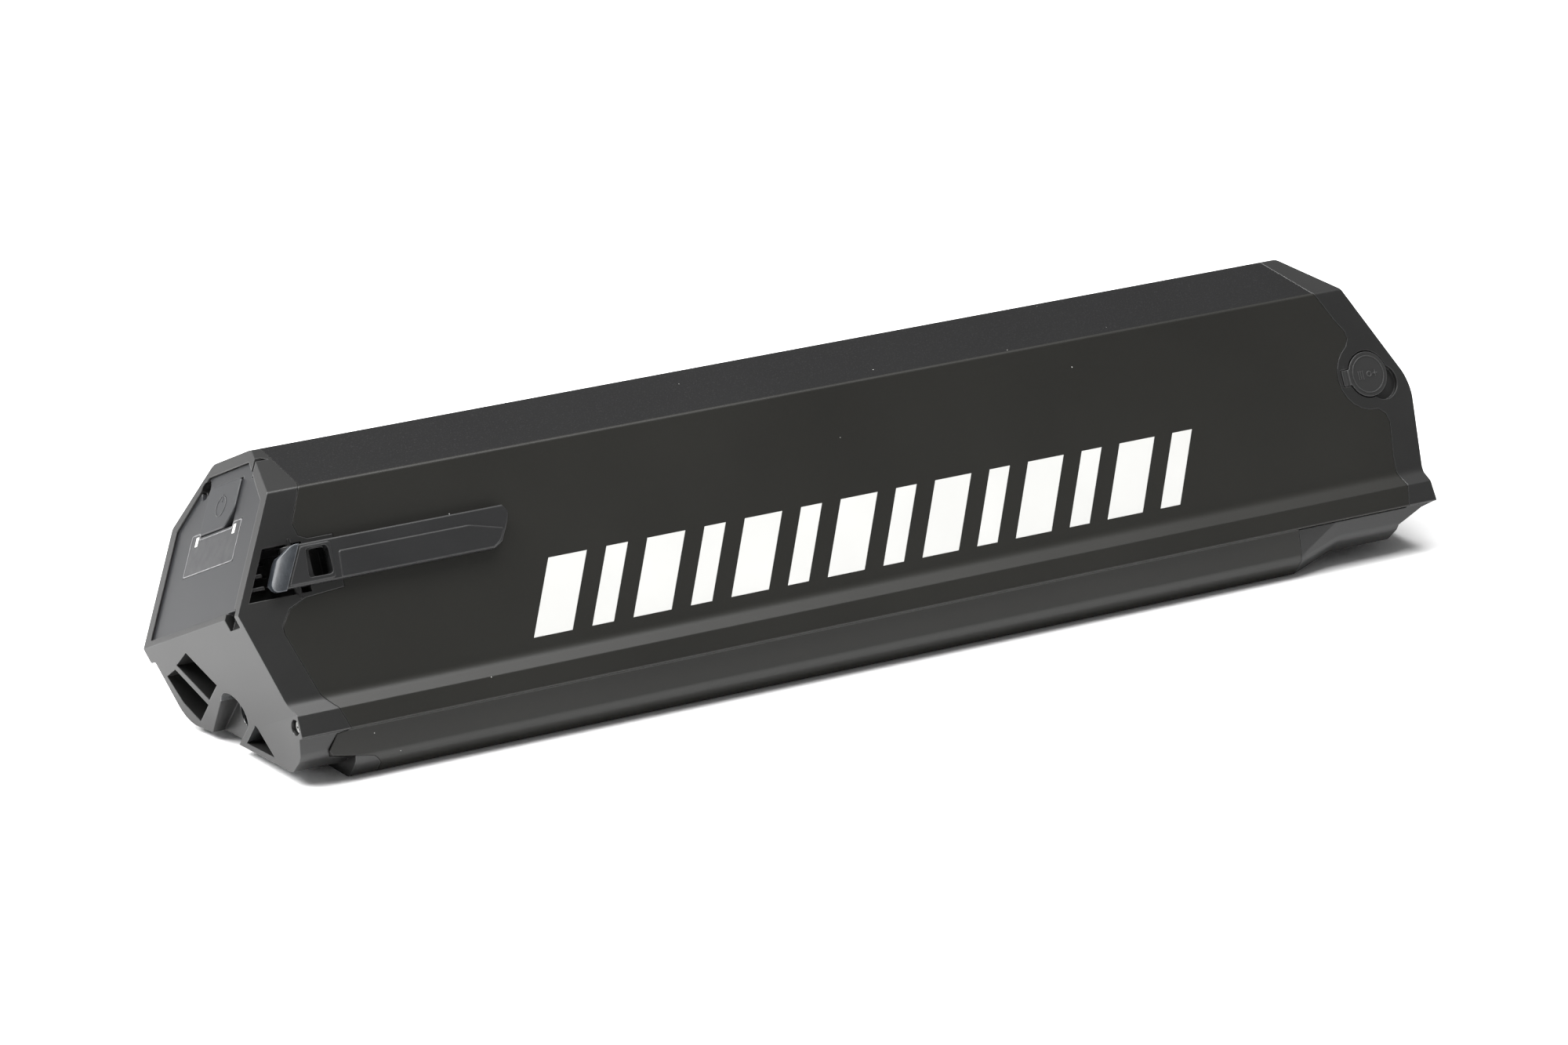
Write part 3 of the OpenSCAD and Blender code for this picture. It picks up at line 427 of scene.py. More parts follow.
    # Its pale edge colour is a painted glint along the contact's edges.
    contact_brass: Finish = Finish(
        "gold_plated_contact", (0.85, 0.62, 0.25), 0.25, metallic=1.0, edge_colour=(0.95, 0.8, 0.5))
    cell_wrap: Finish = Finish(
        "cell_shrink_wrap", (0.02, 0.09, 0.32), 0.28, blotch_mm=14, grain_mm=1.5, grain_mm_deep=0.01, coat=0.2)
    nickel: Finish = Finish(
        "rolled_nickel", (0.62, 0.6, 0.54), 0.32, metallic=1.0, blotch_mm=4, grain_mm=0.3, grain_mm_deep=0.008)
    insulation_paper: Finish = Finish(
        "fibrous_paper", (0.42, 0.5, 0.4), 0.75, blotch_mm=3, grain_mm=0.5, grain_mm_deep=0.04)
    aluminium_plate: Finish = Finish(
        "milled_aluminium", (0.7, 0.7, 0.7), 0.32, metallic=1.0, blotch_mm=8, grain_mm=0.25, grain_mm_deep=0.008)
    fuse_plastic: Finish = Finish("fuse_plastic", (0.75, 0.28, 0.03), 0.25, coat=0.3)
    red_insulation: Finish = Finish("red_silicone", (0.5, 0.02, 0.015), 0.5, grain_mm=0.6)
    black_insulation: Finish = Finish("black_silicone", (0.02, 0.02, 0.02), 0.5, grain_mm=0.6)
    white_insulation: Finish = Finish("white_silicone", (0.75, 0.75, 0.73), 0.5, grain_mm=0.6, edge_amount=0.0)
    foam: Finish = Finish(
        "open_cell_foam", (0.05, 0.05, 0.05), 0.9, grain_mm=0.7, grain_mm_deep=0.35, variation=0.3, blotch_mm=1.5)
    membrane: Finish = Finish("breathing_film", (0.8, 0.8, 0.8), 0.6, grain_mm=0.15, edge_amount=0.0)
    white_ink: Finish = Finish(
        "white_ink", (0.6, 0.6, 0.585), 0.5, grain_mm=0.3, grain_mm_deep=0.01, variation=0.03, edge_amount=0.0)
    pale_line: Finish = Finish(
        "pale_label_line", (0.16, 0.16, 0.165), 0.35, variation=0.6, blotch_mm=2.0, grain_mm=0.3,
        grain_mm_deep=0.01, edge_amount=0.0)

    def materials(self) -> dict[str, bpy.types.Material]:
        """Builds every finish once.

        Returns:
            The materials, by slot.
        """
        return {slot: getattr(self, slot).material() for slot in self.__dataclass_fields__}


# ---------------------------------------------------------------- modelling tools


class Bench:
    """Makes and shapes meshes with Blender's own operators."""

    def __init__(self, length: float) -> None:
        """Keeps the pack's length, which places measured from the tail need.

        Args:
            length: in millimetres.
        """
        self.length = length

    @staticmethod
    def only(piece: bpy.types.Object) -> None:
        """Selects one piece and nothing else."""
        bpy.ops.object.select_all(action="DESELECT")
        piece.select_set(True)
        bpy.context.view_layer.objects.active = piece

    def edit(self, piece: bpy.types.Object, pick: Callable[[Any], bool], edges: bool, work: Callable[[], Any]) -> None:
        """Runs an edit-mode operator on the parts of a piece that pick chooses.

        Args:
            piece: the piece.
            pick: says whether a polygon, or an edge's (first, second) points, is chosen.
            edges: whether edges are chosen, and not polygons.
            work: the operator call.
        """
        self.only(piece)
        mesh = piece.data
        bpy.ops.object.mode_set(mode="EDIT")
        bpy.ops.mesh.select_mode(type="EDGE" if edges else "FACE")
        bpy.ops.mesh.select_all(action="DESELECT")
        bpy.ops.object.mode_set(mode="OBJECT")
        if edges:
            for edge in mesh.edges:
                first, second = (mesh.vertices[v].co for v in edge.vertices)
                edge.select = pick((first, second))
        else:
            for polygon in mesh.polygons:
                polygon.select = pick(polygon)
        bpy.ops.object.mode_set(mode="EDIT")
        work()
        bpy.ops.object.mode_set(mode="OBJECT")

    def plate(self, name: str, outline: Sequence[Point], low: float, high: float, corner: float = 0.0,
              rim: float = 0.0, segments: int = 3) -> bpy.types.Object:
        """Makes a flat plate: a filled ring shaped to an outline, extruded, its corners and rim rounded.

        Args:
            name: the piece's name.
            outline: its corners, counter-clockwise.
            low: its lower face.
            high: its upper face.
            corner: radius of its upright corners.
            rim: radius of its upper edge.
            segments: steps of each rounding.

        Returns:
            The plate, in its plane's own millimetres.
        """
        bpy.ops.object.select_all(action="DESELECT")
        bpy.ops.mesh.primitive_circle_add(vertices=len(outline), radius=1, fill_type="NGON")
        piece = bpy.context.object
        piece.name = piece.data.name = name
        for vertex, point in zip(piece.data.vertices, outline):
            vertex.co = (point[0], point[1], low)
        self.edit(piece, lambda face: True, False, lambda: bpy.ops.mesh.extrude_region_move(
            TRANSFORM_OT_translate={"value": (0, 0, high - low)}))
        self.outwards(piece)
        if corner:
            self.edit(piece, lambda ends: abs(ends[0].z - ends[1].z) > (high - low) / 2, True,
                      lambda: bpy.ops.mesh.bevel(offset=corner, segments=5, affect="EDGES"))
        if rim:
            middle = (low + high) / 2
            self.edit(piece, lambda ends: min(ends[0].z, ends[1].z) > middle, True,
                      lambda: bpy.ops.mesh.bevel(offset=rim, segments=segments, affect="EDGES"))
        return piece

    def disc(self, name: str, centre: Point, radius: float, low: float, high: float, rim: float = 0.0,
             sides: int = 96) -> bpy.types.Object:
        """Makes a round plate with a rounded upper rim.

        Args:
            name: the piece's name.
            centre: its centre in the plane.
            radius: its radius.
            low: its lower face.
            high: its upper face.
            rim: radius of its upper edge.
            sides: steps round it.

        Returns:
            The disc.
        """
        bpy.ops.object.select_all(action="DESELECT")
        bpy.ops.mesh.primitive_cylinder_add(
            vertices=sides, radius=radius, depth=high - low, location=(*centre, (low + high) / 2))
        piece = bpy.context.object
        piece.name = piece.data.name = name
        self.settle(piece)
        if rim:
            middle = (low + high) / 2
            self.edit(piece, lambda ends: min(ends[0].z, ends[1].z) > middle, True,
                      lambda: bpy.ops.mesh.bevel(offset=rim, segments=3, affect="EDGES"))
        return piece

    def ring(self, name: str, centre: Point, radius: float, width: float, low: float, high: float) -> bpy.types.Object:
        """Makes a flat ring.

        Args:
            name: the piece's name.
            centre: its centre in the plane.
            radius: its outer radius.
            width: the width of its band.
            low: its lower face.
            high: its upper face.

        Returns:
            The ring.
        """
        piece = self.disc(name, centre, radius, low, high)
        hole = self.disc(name + "_hole", centre, radius - width, low - 1, high + 1)
        self.cut(piece, hole)
        return piece

    def settle(self, piece: bpy.types.Object) -> None:
        """Puts a piece's place into its mesh."""
        self.only(piece)
        bpy.ops.object.transform_apply(location=True, rotation=True, scale=True)

    def outwards(self, piece: bpy.types.Object) -> None:
        """Turns a closed piece's faces outwards."""
        self.edit(piece, lambda face: True, False, lambda: bpy.ops.mesh.normals_make_consistent(inside=False))

    def cut(self, piece: bpy.types.Object, tool: bpy.types.Object, operation: str = "DIFFERENCE") -> None:
        """Cuts one piece with another, or joins it on, and removes the other.

        Args:
            piece: what is kept.
            tool: what cuts.
            operation: the Boolean's operation.
        """
        modifier = piece.modifiers.new("cut", "BOOLEAN")
        modifier.operation = operation
        modifier.solver = "MANIFOLD"
        modifier.object = tool
        self.only(piece)
        bpy.ops.object.modifier_apply(modifier=modifier.name)
        bpy.data.objects.remove(tool)

    def soften(self, piece: bpy.types.Object, width: float, angle: float = 40.0, segments: int = 2) -> None:
        """Rounds a piece's sharp edges a little.

        Args:
            piece: the piece.
            width: the rounding, in the mesh's own unit.
            angle: edges sharper than this are rounded.
            segments: steps of the rounding.
        """
        modifier = piece.modifiers.new("soften", "BEVEL")
        modifier.width = width
        modifier.segments = segments
        modifier.limit_method = "ANGLE"
        modifier.angle_limit = math.radians(angle)
        self.only(piece)
        bpy.ops.object.modifier_apply(modifier=modifier.name)

    def join(self, name: str, pieces: Sequence[bpy.types.Object]) -> bpy.types.Object:
        """Joins pieces into one object.

        Args:
            name: the joined piece's name.
            pieces: what is joined.

        Returns:
            The joined piece.
        """
        bpy.ops.object.select_all(action="DESELECT")
        for piece in pieces:
            piece.select_set(True)
        bpy.context.view_layer.objects.active = pieces[0]
        if len(pieces) > 1:
            bpy.ops.object.join()
        joined = bpy.context.object
        joined.name = joined.data.name = name
        return joined

    def finish(self, piece: bpy.types.Object, place: Place, material: bpy.types.Material, slot: str,
               body: str, nodes: Sequence[str] = (), smooth: float = 35.0) -> None:
        """Puts a piece on the pack and dresses it.

        Args:
            piece: the piece, in its plane's own millimetres.
            place: its plane.
            material: its material.
            slot: the record's slot name, handed on to dress.
            body: the body that it rides on.
            nodes: the CAD nodes that it stands for.
            smooth: angle up to which edges are shaded smooth.
        """
        piece.data.transform(place.matrix(self.length))
        self.dress(piece, material, slot, body, nodes, smooth)

    def dress(self, piece: bpy.types.Object, material: bpy.types.Material, slot: str, body: str,
              nodes: Sequence[str], smooth: float = 35.0) -> None:
        """Gives a placed piece its material, body and shading.

        Args:
            piece: the piece, in place.
            material: its material.
            slot: not used.
            body: the body that it rides on.
            nodes: the CAD nodes that it stands for.
            smooth: angle up to which edges are shaded smooth.
        """
        piece.data.materials.clear()
        piece.data.materials.append(material)
        self.only(piece)
        bpy.ops.object.shade_smooth_by_angle(angle=math.radians(smooth))
        even = piece.modifiers.new("even", "WEIGHTED_NORMAL")
        even.keep_sharp = True
        even.weight = 80
        bpy.ops.object.modifier_apply(modifier=even.name)
        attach(piece, body)
        if nodes:
            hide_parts(*nodes)
        LOG.info("%s: %d faces", piece.name, len(piece.data.polygons))


@dataclass
class Kit:
    """What every sub-assembly needs: the frame, the bench and the materials."""

    frame: dict[str, Any]
    bench: Bench
    materials: dict[str, bpy.types.Material]

    def whole(self, node: str, name: str, place: Place) -> bpy.types.Object:
        """Copies a CAD node and merges its triangles into whole faces.

        Args:
            node: the CAD node.
            name: the new piece's name.
            place: the plane whose millimetres the copy is put in.

        Returns:
            The copy, not yet dressed.
        """
        piece = bpy.data.objects.new(name, self.frame["nodes"][node].data.copy())
        piece.data.name = name
        bpy.context.scene.collection.objects.link(piece)
        piece.data.transform(place.matrix(self.bench.length).inverted())
        bench = self.bench
        bench.edit(piece, lambda face: True, False, lambda: bpy.ops.mesh.remove_doubles(threshold=0.002))
        bench.edit(piece, lambda face: True, False, lambda: bpy.ops.mesh.dissolve_limited(
            angle_limit=math.radians(0.5)))
        return piece

    def refined(self, node: str, name: str, slot: str, body: str, soft_mm: float) -> bpy.types.Object:
        """Copies a CAD node in whole faces and rounds its edges a little.

        Args:
            node: the CAD node.
            name: the new piece's name.
            slot: its material slot.
            body: the body that it rides on.
            soft_mm: how far its edges are rounded.

        Returns:
            The piece, which stands for the node.
        """
        piece = self.whole(node, name, Place.UPRIGHT)
        self.bench.soften(piece, soft_mm)
        self.bench.finish(piece, Place.UPRIGHT, self.materials[slot], slot, body, (node,))
        return piece

    def second_finish(self, piece: bpy.types.Object, slot: str, pick: Callable[[Any], bool]) -> None:
        """Gives some of a piece's faces another finish.

        Args:
            piece: the piece.
            slot: the finish.
            pick: says which polygons take it.
        """
        piece.data.materials.append(self.materials[slot])
        for polygon in piece.data.polygons:
            if pick(polygon):
                polygon.material_index = len(piece.data.materials) - 1


# ---------------------------------------------------------------- sub-assemblies


@dataclass
class Housing:
    """The aluminium tube and the white bars printed on its near side."""

    crown_facing: float = 0.75
    bars_from: float = 112.0
    bars_to: float = 409.0
    bar_low: float = -28.3
    bar_high: float = -1.3
    bar_slant: float = 13.0
    bar_widths: tuple[float, ...] = (16.0, 9.0)
    bar_gap: float = 8.2
    ink_mm: float = 0.06

    def build(self, kit: Kit) -> None:
        """Makes the tube and its print."""
        tube = kit.refined("housing_extrusion", "tube_shell", "black_coated_aluminium", "shell", 0.2)
        crown = laid(kit.bench.length).to_3x3().normalized() @ Vector((0, 0, 1))
        kit.second_finish(tube, "chamfer_coating", lambda face: face.normal.dot(crown) > self.crown_facing)
        self.print_bars(kit)

    def print_bars(self, kit: Kit) -> None:
        """Prints a row of plain slanted bars, wide and narrow in turn."""
        bars = []
        x = self.bars_from
        index = 0
        while x < self.bars_to - self.bar_slant - self.bar_gap:
            width = self.bar_widths[index % len(self.bar_widths)]
            outline = [(x, self.bar_low), (x + width, self.bar_low),
                       (x + width + self.bar_slant, self.bar_high), (x + self.bar_slant, self.bar_high)]
            bars.append(kit.bench.plate(f"bar_{index}", outline, HALF_WIDTH, HALF_WIDTH + self.ink_mm))
            x += width + self.bar_gap
            index += 1
        piece = kit.bench.join("printed_bars", bars)
        kit.bench.finish(piece, Place.NEAR_SIDE, kit.materials["white_ink"], "light_pipe", "shell")


@dataclass
class PullHandle:
    """The strap-like handle: a flat arm with a slot, a stepped face and a lip that curls into the pocket."""

    low: float = 5.5
    high: float = 20.3
    inner: float = 40.3
    outer: float = 44.2
    hinge_x: float = 25.5
    hinge_depth: float = 38.6
    knuckle: float = 3.7
    free_end: tuple[Point, ...] = ((103.0, 5.5), (106.6, 7.4), (110.4, 14.0), (111.6, 17.6), (109.6, 20.3))
    face_down: float = 0.4
    step_outline: tuple[Point, ...] = (
        (41.0, 5.9), (102.6, 5.9), (105.8, 8.1), (108.2, 12.0), (94.5, 15.3), (42.0, 15.3))
    step_depth: float = 1.5
    slot_x: tuple[float, float] = (31.6, 38.0)
    slot_z: tuple[float, float] = (7.9, 17.9)
    frame_x: tuple[float, float] = (38.6, 39.4)
    frame_z: tuple[float, float] = (6.3, 19.3)
    frame_proud: float = 0.1
    lip_reach: float = 6.8
    lip_wall: float = 1.7
    lip_proud: float = 0.15
    lip_overlap: float = 0.6
    lip_steps: int = 10
    lip_outline: tuple[Point, ...] = (
        (14.6, 4.9), (40.0, 4.9), (40.0, 20.4), (24.4, 20.4), (18.4, 16.1), (14.0, 7.3))
    edge_x: float = 26.6
    edge_lean: float = 0.56
    pin_room: float = 1.56

    def build(self, kit: Kit) -> None:
        """Makes the arm and the lip."""
        bench = kit.bench
        arm = bench.plate("arm", [
            (self.lip_edge(self.low), self.low), *self.free_end, (self.lip_edge(self.high), self.high)],
            self.inner, self.outer - self.face_down, 0.0, 0.7)
        step = bench.plate("step", self.step_outline, self.outer - self.step_depth, self.outer, 0.8, 0.35)
        bottom, top = self.frame_z
        frame = bench.plate("slot_frame", [
            (self.lip_edge(bottom) + 1.2, bottom), (self.frame_x[0], bottom), (self.frame_x[1], top),
            (self.lip_edge(top) + 1.2, top)],
            self.outer - self.step_depth, self.outer + self.frame_proud, 1.0, 0.45)
        bench.cut(arm, step, "UNION")
        bench.cut(arm, frame, "UNION")
        slot = bench.plate("slot", [
            (self.slot_x[0], self.slot_z[0]), (self.slot_x[1], self.slot_z[0]),
            (self.slot_x[1], self.slot_z[1]), (self.slot_x[0], self.slot_z[1])],
            self.inner - 5, self.outer + 3, 1.3)
        bench.cut(arm, slot)
        mouth = bench.plate("slot_mouth", [
            (self.slot_x[0] - 3.4, self.slot_z[0]), (self.slot_x[1] - 0.4, self.slot_z[0]),
            (self.slot_x[1] - 0.4, self.slot_z[1] + 0.4), (self.slot_x[0] - 2.4, self.slot_z[1] + 0.4)],
            self.inner + 1.0, self.outer + 3, 1.0)
        bench.cut(arm, mouth)
        knuckle = self.upright(bench, "knuckle", self.knuckle)
        bench.cut(arm, knuckle, "UNION")
        bench.cut(arm, self.upright(bench, "pin_hole", self.pin_room, 2.0))
        arm.name = "pull_handle_arm"
        bench.finish(arm, Place.NEAR_SIDE, kit.materials["handle_plastic"], "handle_plastic", "handle",
                     ("pull_handle",))
        self.build_lip(kit)

    def lip_edge(self, z: float) -> float:
        """Gives x of the slanted line between lip and arm at a height."""
        return self.edge_x - self.edge_lean * (self.high - z)

    def upright(self, bench: Bench, name: str, radius: float, extra: float = 0.0) -> bpy.types.Object:
        """Makes a round bar along the hinge's axis.

        Args:
            bench: the bench.
            name: the bar's name.
            radius: its radius.
            extra: how far it runs past the handle at each end.

        Returns:
            The bar.
        """
        bpy.ops.object.select_all(action="DESELECT")
        bpy.ops.mesh.primitive_cylinder_add(
            vertices=64, radius=radius, depth=self.high - self.low + 2 * extra,
            location=(self.hinge_x, (self.low + self.high) / 2, self.hinge_depth), rotation=(math.pi / 2, 0, 0))
        piece = bpy.context.object
        piece.name = piece.data.name = name
        bench.settle(piece)
        return piece

    def build_lip(self, kit: Kit) -> None:
        """Makes the lip: a rounded shell that turns from the arm's face into the pocket, on the arm's slant."""
        bench = kit.bench
        rise = self.high - self.low
        wall = self.lip_wall
        top = self.outer + self.lip_proud - self.hinge_depth
        turn = [math.pi / 2 + math.pi / 2 * k / self.lip_steps for k in range(self.lip_steps + 1)]
        outside = [(self.lip_overlap, top)] + [(self.lip_reach * math.cos(a), top * math.sin(a)) for a in turn]
        inside = [(self.lip_overlap, top - wall)] + [
            ((self.lip_reach - wall) * math.cos(a), (top - wall) * math.sin(a)) for a in turn]
        tail = [(0.1 - self.lip_reach, -0.2), (wall - self.lip_reach, -0.3)]
        profile = outside + tail + inside[::-1]
        bpy.ops.object.select_all(action="DESELECT")
        bpy.ops.mesh.primitive_circle_add(vertices=len(profile), radius=1, fill_type="NGON")
        lip = bpy.context.object
        for vertex, point in zip(lip.data.vertices, profile):
            vertex.co = (self.edge_x + point[0], self.low - 0.8, self.hinge_depth + point[1])
        bench.edit(lip, lambda face: True, False, lambda: bpy.ops.mesh.extrude_region_move(
            TRANSFORM_OT_translate={"value": (0, rise + 1.0, 0)}))
        bench.outwards(lip)
        for vertex in lip.data.vertices:
            vertex.co.x = vertex.co.x - self.edge_x + self.lip_edge(vertex.co.y)
        shape = bench.plate("lip_shape", self.lip_outline, 30, 50, 1.4)
        bench.cut(lip, shape, "INTERSECT")
        bench.soften(lip, 0.55, 50, 3)
        lip.name = "pull_handle_lip"
        bench.finish(lip, Place.NEAR_SIDE, kit.materials["lip_plastic"], "handle_plastic", "handle")


@dataclass
class ControlEnd:
    """The control end: cap, panel, power button, label and lights."""

    channel_x: tuple[float, float] = (3.0, 31.0)
    channel_y: float = 2.5
    channel_half: float = 11.0
    channel_z: tuple[float, float] = (-60.0, -23.0)
    screw_at: Point = (13.2, -39.9, -42.2)
    screw_r: float = 2.35
    recess: tuple[float, float] = (2.6, 0.55)
    recess_depth: float = 0.9
    swing_r: float = 11.9
    swing_z: tuple[float, float] = (3.6, 18.8)
    swing_half_turns: float = 0.62
    swing_steps: int = 22
    button_w: float = 26.0
    button_low: float = 38.5
    button_high: float = 56.5
    sink: float = 0.8
    mark_r: float = 4.0
    mark_line: float = 0.45
    mark_z: tuple[float, float] = (-0.02, 0.09)
    label_half: float = 21.0
    label_low: float = 23.7
    label_high: float = 40.0
    label_gap: tuple[float, float] = (0.5, 0.8)
    light_x: float = 15.6
    light_low: float = 35.0
    light_size: tuple[float, float] = (2.2, 3.6)

    def build(self, kit: Kit) -> None:
        """Makes the end's visible pieces."""
        cap = kit.whole("control_end_cap", "control_cap", Place.NEAR_SIDE)
        kit.bench.cut(cap, self.swing_room(kit.bench))
        kit.bench.soften(cap, 0.2)
        kit.bench.finish(cap, Place.NEAR_SIDE, kit.materials["cap_plastic"], "cap_plastic", "shell",
                         ("control_end_cap",))
        upright = laid(kit.bench.length).inverted()

        def in_channel(face: bpy.types.MeshPolygon) -> bool:
            """Says whether a face lies in the lock's channel."""
            x, y, z = upright @ face.center
            return (self.channel_x[0] < x < self.channel_x[1] and abs(y - self.channel_y) < self.channel_half
                    and self.channel_z[0] < z < self.channel_z[1] and abs(face.normal.x) < 0.3)

        kit.second_finish(cap, "lock_polish", in_channel)
        self.build_screw(kit)
        kit.refined("control_panel", "panel_plate", "panel_plastic", "shell", 0.25)
        self.build_button(kit)
        self.build_label(kit)

    def swing_room(self, bench: Bench) -> bpy.types.Object:
        """Makes the room that the handle's lip swings through inside the pocket.

        Args:
            bench: the bench.

        Returns:
            A tool that cuts the pocket's ribs and floor round the handle's axis.
        """
        handle = PullHandle()
        turn = [math.pi * (1 + self.swing_half_turns * k / self.swing_steps) for k in range(self.swing_steps + 1)]
        arc = [(handle.hinge_x + self.swing_r * math.cos(a), handle.hinge_depth + self.swing_r * math.sin(a))
               for a in turn]
        outline = arc + [(arc[-1][0], HALF_WIDTH + 1), (arc[0][0], HALF_WIDTH + 1)]
        tool = bench.plate("swing_room", outline, *self.swing_z)
        tool.data.transform(Matrix.Rotation(-math.pi / 2, 4, "X") @ Matrix.Scale(-1, 4, (0, 1, 0)))
        bench.outwards(tool)
        return tool

    def build_screw(self, kit: Kit) -> None:
        """Makes the cross-recessed head of the cap's near screw."""
        bench = kit.bench
        head = bench.disc("cap_screw_head", (0, 0), self.screw_r, -1.3, 0, 0.5, 48)
        for width, height in (self.recess, self.recess[::-1]):
            outline = self.box(-width / 2, -height / 2, width, height)
            bench.cut(head, bench.plate("recess", outline, -self.recess_depth, 1))
        turn = Matrix.Translation(self.screw_at) @ Matrix.Rotation(-math.pi / 2, 4, "Y")
        head.data.transform(laid(bench.length) @ turn)
        bench.dress(head, kit.materials["steel"], "steel", "shell", ())

    def build_button(self, kit: Kit) -> None:
        """Makes the button with a cut corner, and the power mark on it."""
        bench = kit.bench
        half = self.button_w / 2
        outline = [(-half, self.button_low), (half - 5.5, self.button_low), (half, self.button_low + 6.0),
                   (half, self.button_high), (-half, self.button_high)]
        button = bench.plate("power_button_pad", outline, -3.0, 0.0, 1.6, 0.45)
        plunger = bench.disc("plunger", (0, (self.button_low + self.button_high) / 2), 2.5, -4.9, -2.9)
        bench.cut(button, plunger, "UNION")
        bench.finish(button, Place.PANEL, kit.materials["button_plastic"], "button_plastic", "button",
                     ("power_button",))
        centre = (0.5, (self.button_low + self.button_high) / 2)
        mark = bench.ring("mark_ring", centre, self.mark_r, self.mark_line, *self.mark_z)
        gap = bench.plate("mark_gap", self.box(centre[0] - 0.9, centre[1] + 2.0, 1.8, 3.0), -1, 1)
        bench.cut(mark, gap)
        stem = bench.plate("mark_stem", self.box(centre[0] - 0.22, centre[1] + 1.6, self.mark_line, 3.0), *self.mark_z)
        mark = bench.join("power_mark", [mark, stem])
        bench.finish(mark, Place.PANEL, kit.materials["window_film"], "window_film", "button")

    @staticmethod
    def box(x: float, y: float, width: float, height: float) -> list[Point]:
        """Gives a rectangle's corners, counter-clockwise."""
        return [(x, y), (x + width, y), (x + width, y + height), (x, y + height)]

    def label_outline(self, grow: float) -> list[Point]:
        """Gives the label's outline, grown by a margin.

        Args:
            grow: the margin.

        Returns:
            Its corners: a wide plate with an ear on each side of the button.
        """
        half = self.label_half + grow
        low = self.label_low - grow
        high = self.label_high + grow
        notch = self.button_w / 2 + self.label_gap[0] - grow
        shelf = self.button_low - self.label_gap[1] + grow
        return [(-half, low), (half, low), (half, high), (notch, high), (notch, shelf), (-notch, shelf),
                (-notch, high), (-half, high)]

    def build_label(self, kit: Kit) -> None:
        """Makes the film, its pale border and the two lights."""
        bench = kit.bench
        film = bench.plate("label_film", self.label_outline(-0.05), -1.4, -self.sink + 0.02, 0.9, 0.0)
        bench.finish(film, Place.PANEL, kit.materials["window_film"], "window_film", "shell", ("indicator_window",))
        top = -self.sink + 0.07
        border = bench.plate("border", self.label_outline(-0.15), -self.sink, top, 0.9)
        inner = bench.plate("border_inner", self.label_outline(-0.55), -2, 2, 0.7)
        bench.cut(border, inner)
        border.name = "label_border"
        bench.finish(border, Place.PANEL, kit.materials["pale_line"], "light_pipe", "shell")
        width, height = self.light_size
        lights = [bench.plate(f"light_{x}", self.box(x * self.light_x - width / 2, self.light_low, width, height),
                              -self.sink, top, 0.2)
                  for x in (-1, 1)]
        lights = bench.join("charge_lights", lights)
        bench.finish(lights, Place.PANEL, kit.materials["light_pipe"], "light_pipe", "shell")


@dataclass
class DischargeEnd:
    """The discharge end: cap and the charge port's cover with its raised marks."""

    centre: Point = (-18.8, 6.2)
    radius: float = 8.7
    proud: float = 0.4
    fold_round: float = 6.0
    tab_gap: float = 0.05
    tab_reach: float = 20.0
    tab_half: float = 8.0
    rim_r: float = 7.3
    mark_line: float = 0.45
    mark_high: float = 0.2
    bar_step: float = 0.95
    bar_tall: float = 3.4
    ring_r: float = 1.15

    def build(self, kit: Kit) -> None:
        """Makes the end's visible pieces."""
        bench = kit.bench
        cap = kit.whole("discharge_end_cap", "discharge_cap", Place.UPRIGHT)
        fold_x = bench.length

        def on_fold(ends: Sequence[Vector]) -> bool:
            """Says whether an edge lies on the cap's fold."""
            return all(abs(end.x - fold_x) < 0.1 and abs(end.z) < 0.1 for end in ends)

        bench.edit(cap, on_fold, True, lambda: bpy.ops.mesh.bevel(offset=self.fold_round, segments=6, affect="EDGES"))
        bench.soften(cap, 0.2)
        bench.finish(cap, Place.UPRIGHT, kit.materials["cap_plastic"], "cap_plastic", "shell", ("discharge_end_cap",))
        self.build_cover(kit)
        self.build_marks(kit)

    def build_cover(self, kit: Kit) -> None:
        """Makes the cover: its disc stands a little proud, its hinge tab is cut flush with the cap."""
        bench = kit.bench
        cover = kit.whole("charge_port_cover", "charge_cover", Place.TAIL_SIDE)
        x, z = self.centre
        reach = self.radius + self.tab_gap
        outline = [(x - self.tab_reach, z - self.tab_half), (x - reach, z - self.tab_half),
                   (x - reach, z + self.tab_half), (x - self.tab_reach, z + self.tab_half)]
        bench.cut(cover, bench.plate("tab_trim", outline, HALF_WIDTH - 0.05, HALF_WIDTH + 5))
        bench.soften(cover, 0.35, 40, 3)
        bench.finish(cover, Place.TAIL_SIDE, kit.materials["cover_rubber"], "cover_rubber", "cover",
                     ("charge_port_cover",))

    def build_marks(self, kit: Kit) -> None:
        """Makes the raised marks inside a rim: three bars, a ring and a plus."""
        bench = kit.bench
        low = HALF_WIDTH + self.proud - 0.02
        high = low + self.mark_high
        line = self.mark_line
        x, z = self.centre
        marks = [bench.ring("mark_rim", self.centre, self.rim_r, 0.4, low, high)]
        for k in range(3):
            bar = ControlEnd.box(x - 4.6 + k * self.bar_step, z - self.bar_tall / 2, line, self.bar_tall)
            marks.append(bench.plate(f"mark_{k}", bar, low, high))
        marks.append(bench.ring("mark_ring", (x + 0.4, z), self.ring_r, 0.4, low, high))
        marks.append(bench.plate("mark_plus", ControlEnd.box(x + 2.9, z - 1.3, line, 2.6), low, high))
        marks.append(bench.plate("mark_plus_bar", ControlEnd.box(x + 2.0, z - 0.22, 2.2, line), low, high + 0.01))
        piece = bench.join("charge_cover_marks", marks)
        bench.finish(piece, Place.TAIL_SIDE, kit.materials["cover_rubber"], "cover_rubber", "cover")


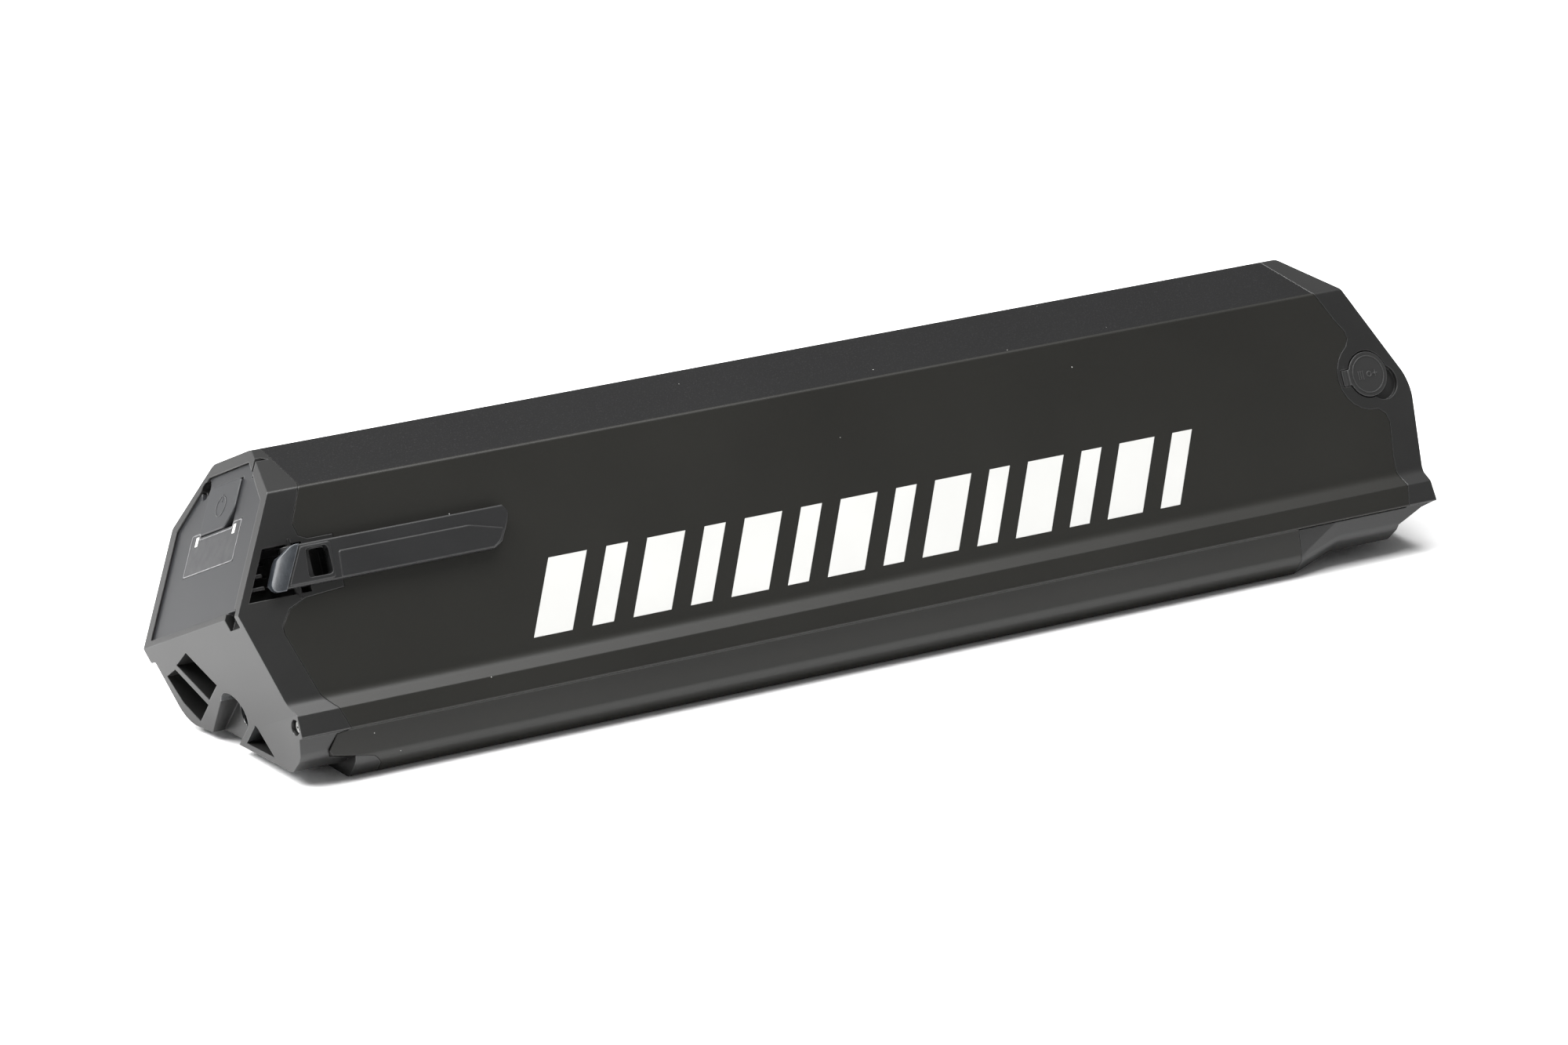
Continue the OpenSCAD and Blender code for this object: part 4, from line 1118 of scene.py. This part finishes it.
@dataclass
class InnerParts:
    """The CAD pieces that stay as they are and only get their finishes."""

    blackened: tuple[str, ...] = ("handle_pin", "charge_cover_pin")

    def build(self, kit: Kit) -> None:
        """Dresses every CAD node by its slot in the record."""
        slots = {part["node"]: part["material_slot"] for part in kit.frame["record"]["subparts"]}
        for name, node in kit.frame["nodes"].items():
            finish = "dark_steel" if name in self.blackened else slots[name]
            for material_slot in node.material_slots:
                material_slot.material = kit.materials[finish]
            LOG.info("%s: %s", name, slots[name])


@dataclass
class Studio:
    """The white table, the soft lights and the camera."""

    azimuth: float = 32.52
    elevation: float = 18.35
    distance: float = 2.64
    aim: Point = (-0.010, -0.0018, 0.0426)
    lens: float = 164.2
    table_m: float = 14.0
    room_light: float = 0.3

    def build(self) -> None:
        """Makes the table, the lights and the camera."""
        self.make_table()
        self.make_lights()
        self.make_camera()

    def make_table(self) -> None:
        """Makes a wide pale table top."""
        bpy.ops.object.select_all(action="DESELECT")
        bpy.ops.mesh.primitive_plane_add(size=self.table_m, location=(0, 0, 0))
        table = bpy.context.object
        table.name = "table_top"
        tree = Tree("pale_table")
        coords = tree.add("ShaderNodeTexCoord", output="Object")
        grain = tree.noise(coords, 1.2, 3.0)
        colour = tree.mix(grain, (0.93, 0.93, 0.93), (0.95, 0.95, 0.95))
        bump = tree.add("ShaderNodeBump", {}, {"Strength": 0.4, "Distance": 0.00005, "Height": grain})
        shader = tree.add("ShaderNodeBsdfPrincipled", {}, {
            "Base Color": colour, "Roughness": 0.6, "Normal": bump, "Specular IOR Level": 0.3})
        table.data.materials.append(tree.surface(shader))
        table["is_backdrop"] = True

    def area(self, name: str, place: Point, target: Point, size: Point, watts: float) -> None:
        """Adds a soft box.

        Args:
            name: its name.
            place: where it hangs.
            target: what it faces.
            size: its width and height.
            watts: its power.
        """
        light = bpy.data.lights.new(name, "AREA")
        light.shape = "RECTANGLE"
        light.size, light.size_y = size
        light.energy = watts
        lamp = bpy.data.objects.new(name, light)
        lamp.location = place
        lamp.rotation_euler = (Vector(target) - Vector(place)).to_track_quat("-Z", "Y").to_euler()
        bpy.context.scene.collection.objects.link(lamp)

    def make_lights(self) -> None:
        """Hangs the soft boxes and sets the room's own grey."""
        self.area("left_key", (-1.7, 0.7, 2.2), (0, 0, 0), (2.0, 2.0), 190)
        self.area("overhead", (0.2, -0.3, 2.8), (0.1, 0, 0), (2.0, 1.6), 90)
        world = bpy.data.worlds.new("room")
        bpy.context.scene.world = world
        world.use_nodes = True
        background = world.node_tree.nodes["Background"]
        background.inputs["Color"].default_value = (1, 1, 1, 1)
        background.inputs["Strength"].default_value = self.room_light

    def make_camera(self) -> None:
        """Places the camera low on the near side, by the control end."""
        azimuth = math.radians(self.azimuth)
        elevation = math.radians(self.elevation)
        forward = Vector((math.sin(azimuth) * math.cos(elevation), math.cos(azimuth) * math.cos(elevation),
                          -math.sin(elevation)))
        camera = bpy.data.cameras.new("camera")
        camera.lens = self.lens
        camera.sensor_width = 36
        camera.clip_end = 50
        holder = bpy.data.objects.new("camera", camera)
        holder.location = Vector(self.aim) - forward * self.distance
        holder.rotation_euler = forward.to_track_quat("-Z", "Y").to_euler()
        bpy.context.scene.collection.objects.link(holder)
        scene = bpy.context.scene
        scene.camera = holder
        scene.view_settings.view_transform = "Standard"


def numbers(box: Iterable[Iterable[float]]) -> list[list[float]]:
    """Turns a box into plain lists of numbers."""
    return [[float(value) for value in corner] for corner in box]


def main() -> None:
    """Builds the pack's looks in order and logs each piece."""
    logging.basicConfig(level=logging.INFO, format="%(message)s")
    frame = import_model()
    cad_box = numbers(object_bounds())
    length = (cad_box[1][0] - cad_box[0][0]) / MM
    kit = Kit(frame, Bench(length), Palette().materials())
    InnerParts().build(kit)
    for part in (Housing(), ControlEnd(), PullHandle(), DischargeEnd()):
        part.build(kit)
    Studio().build()


if __name__ == "__main__":
    main()
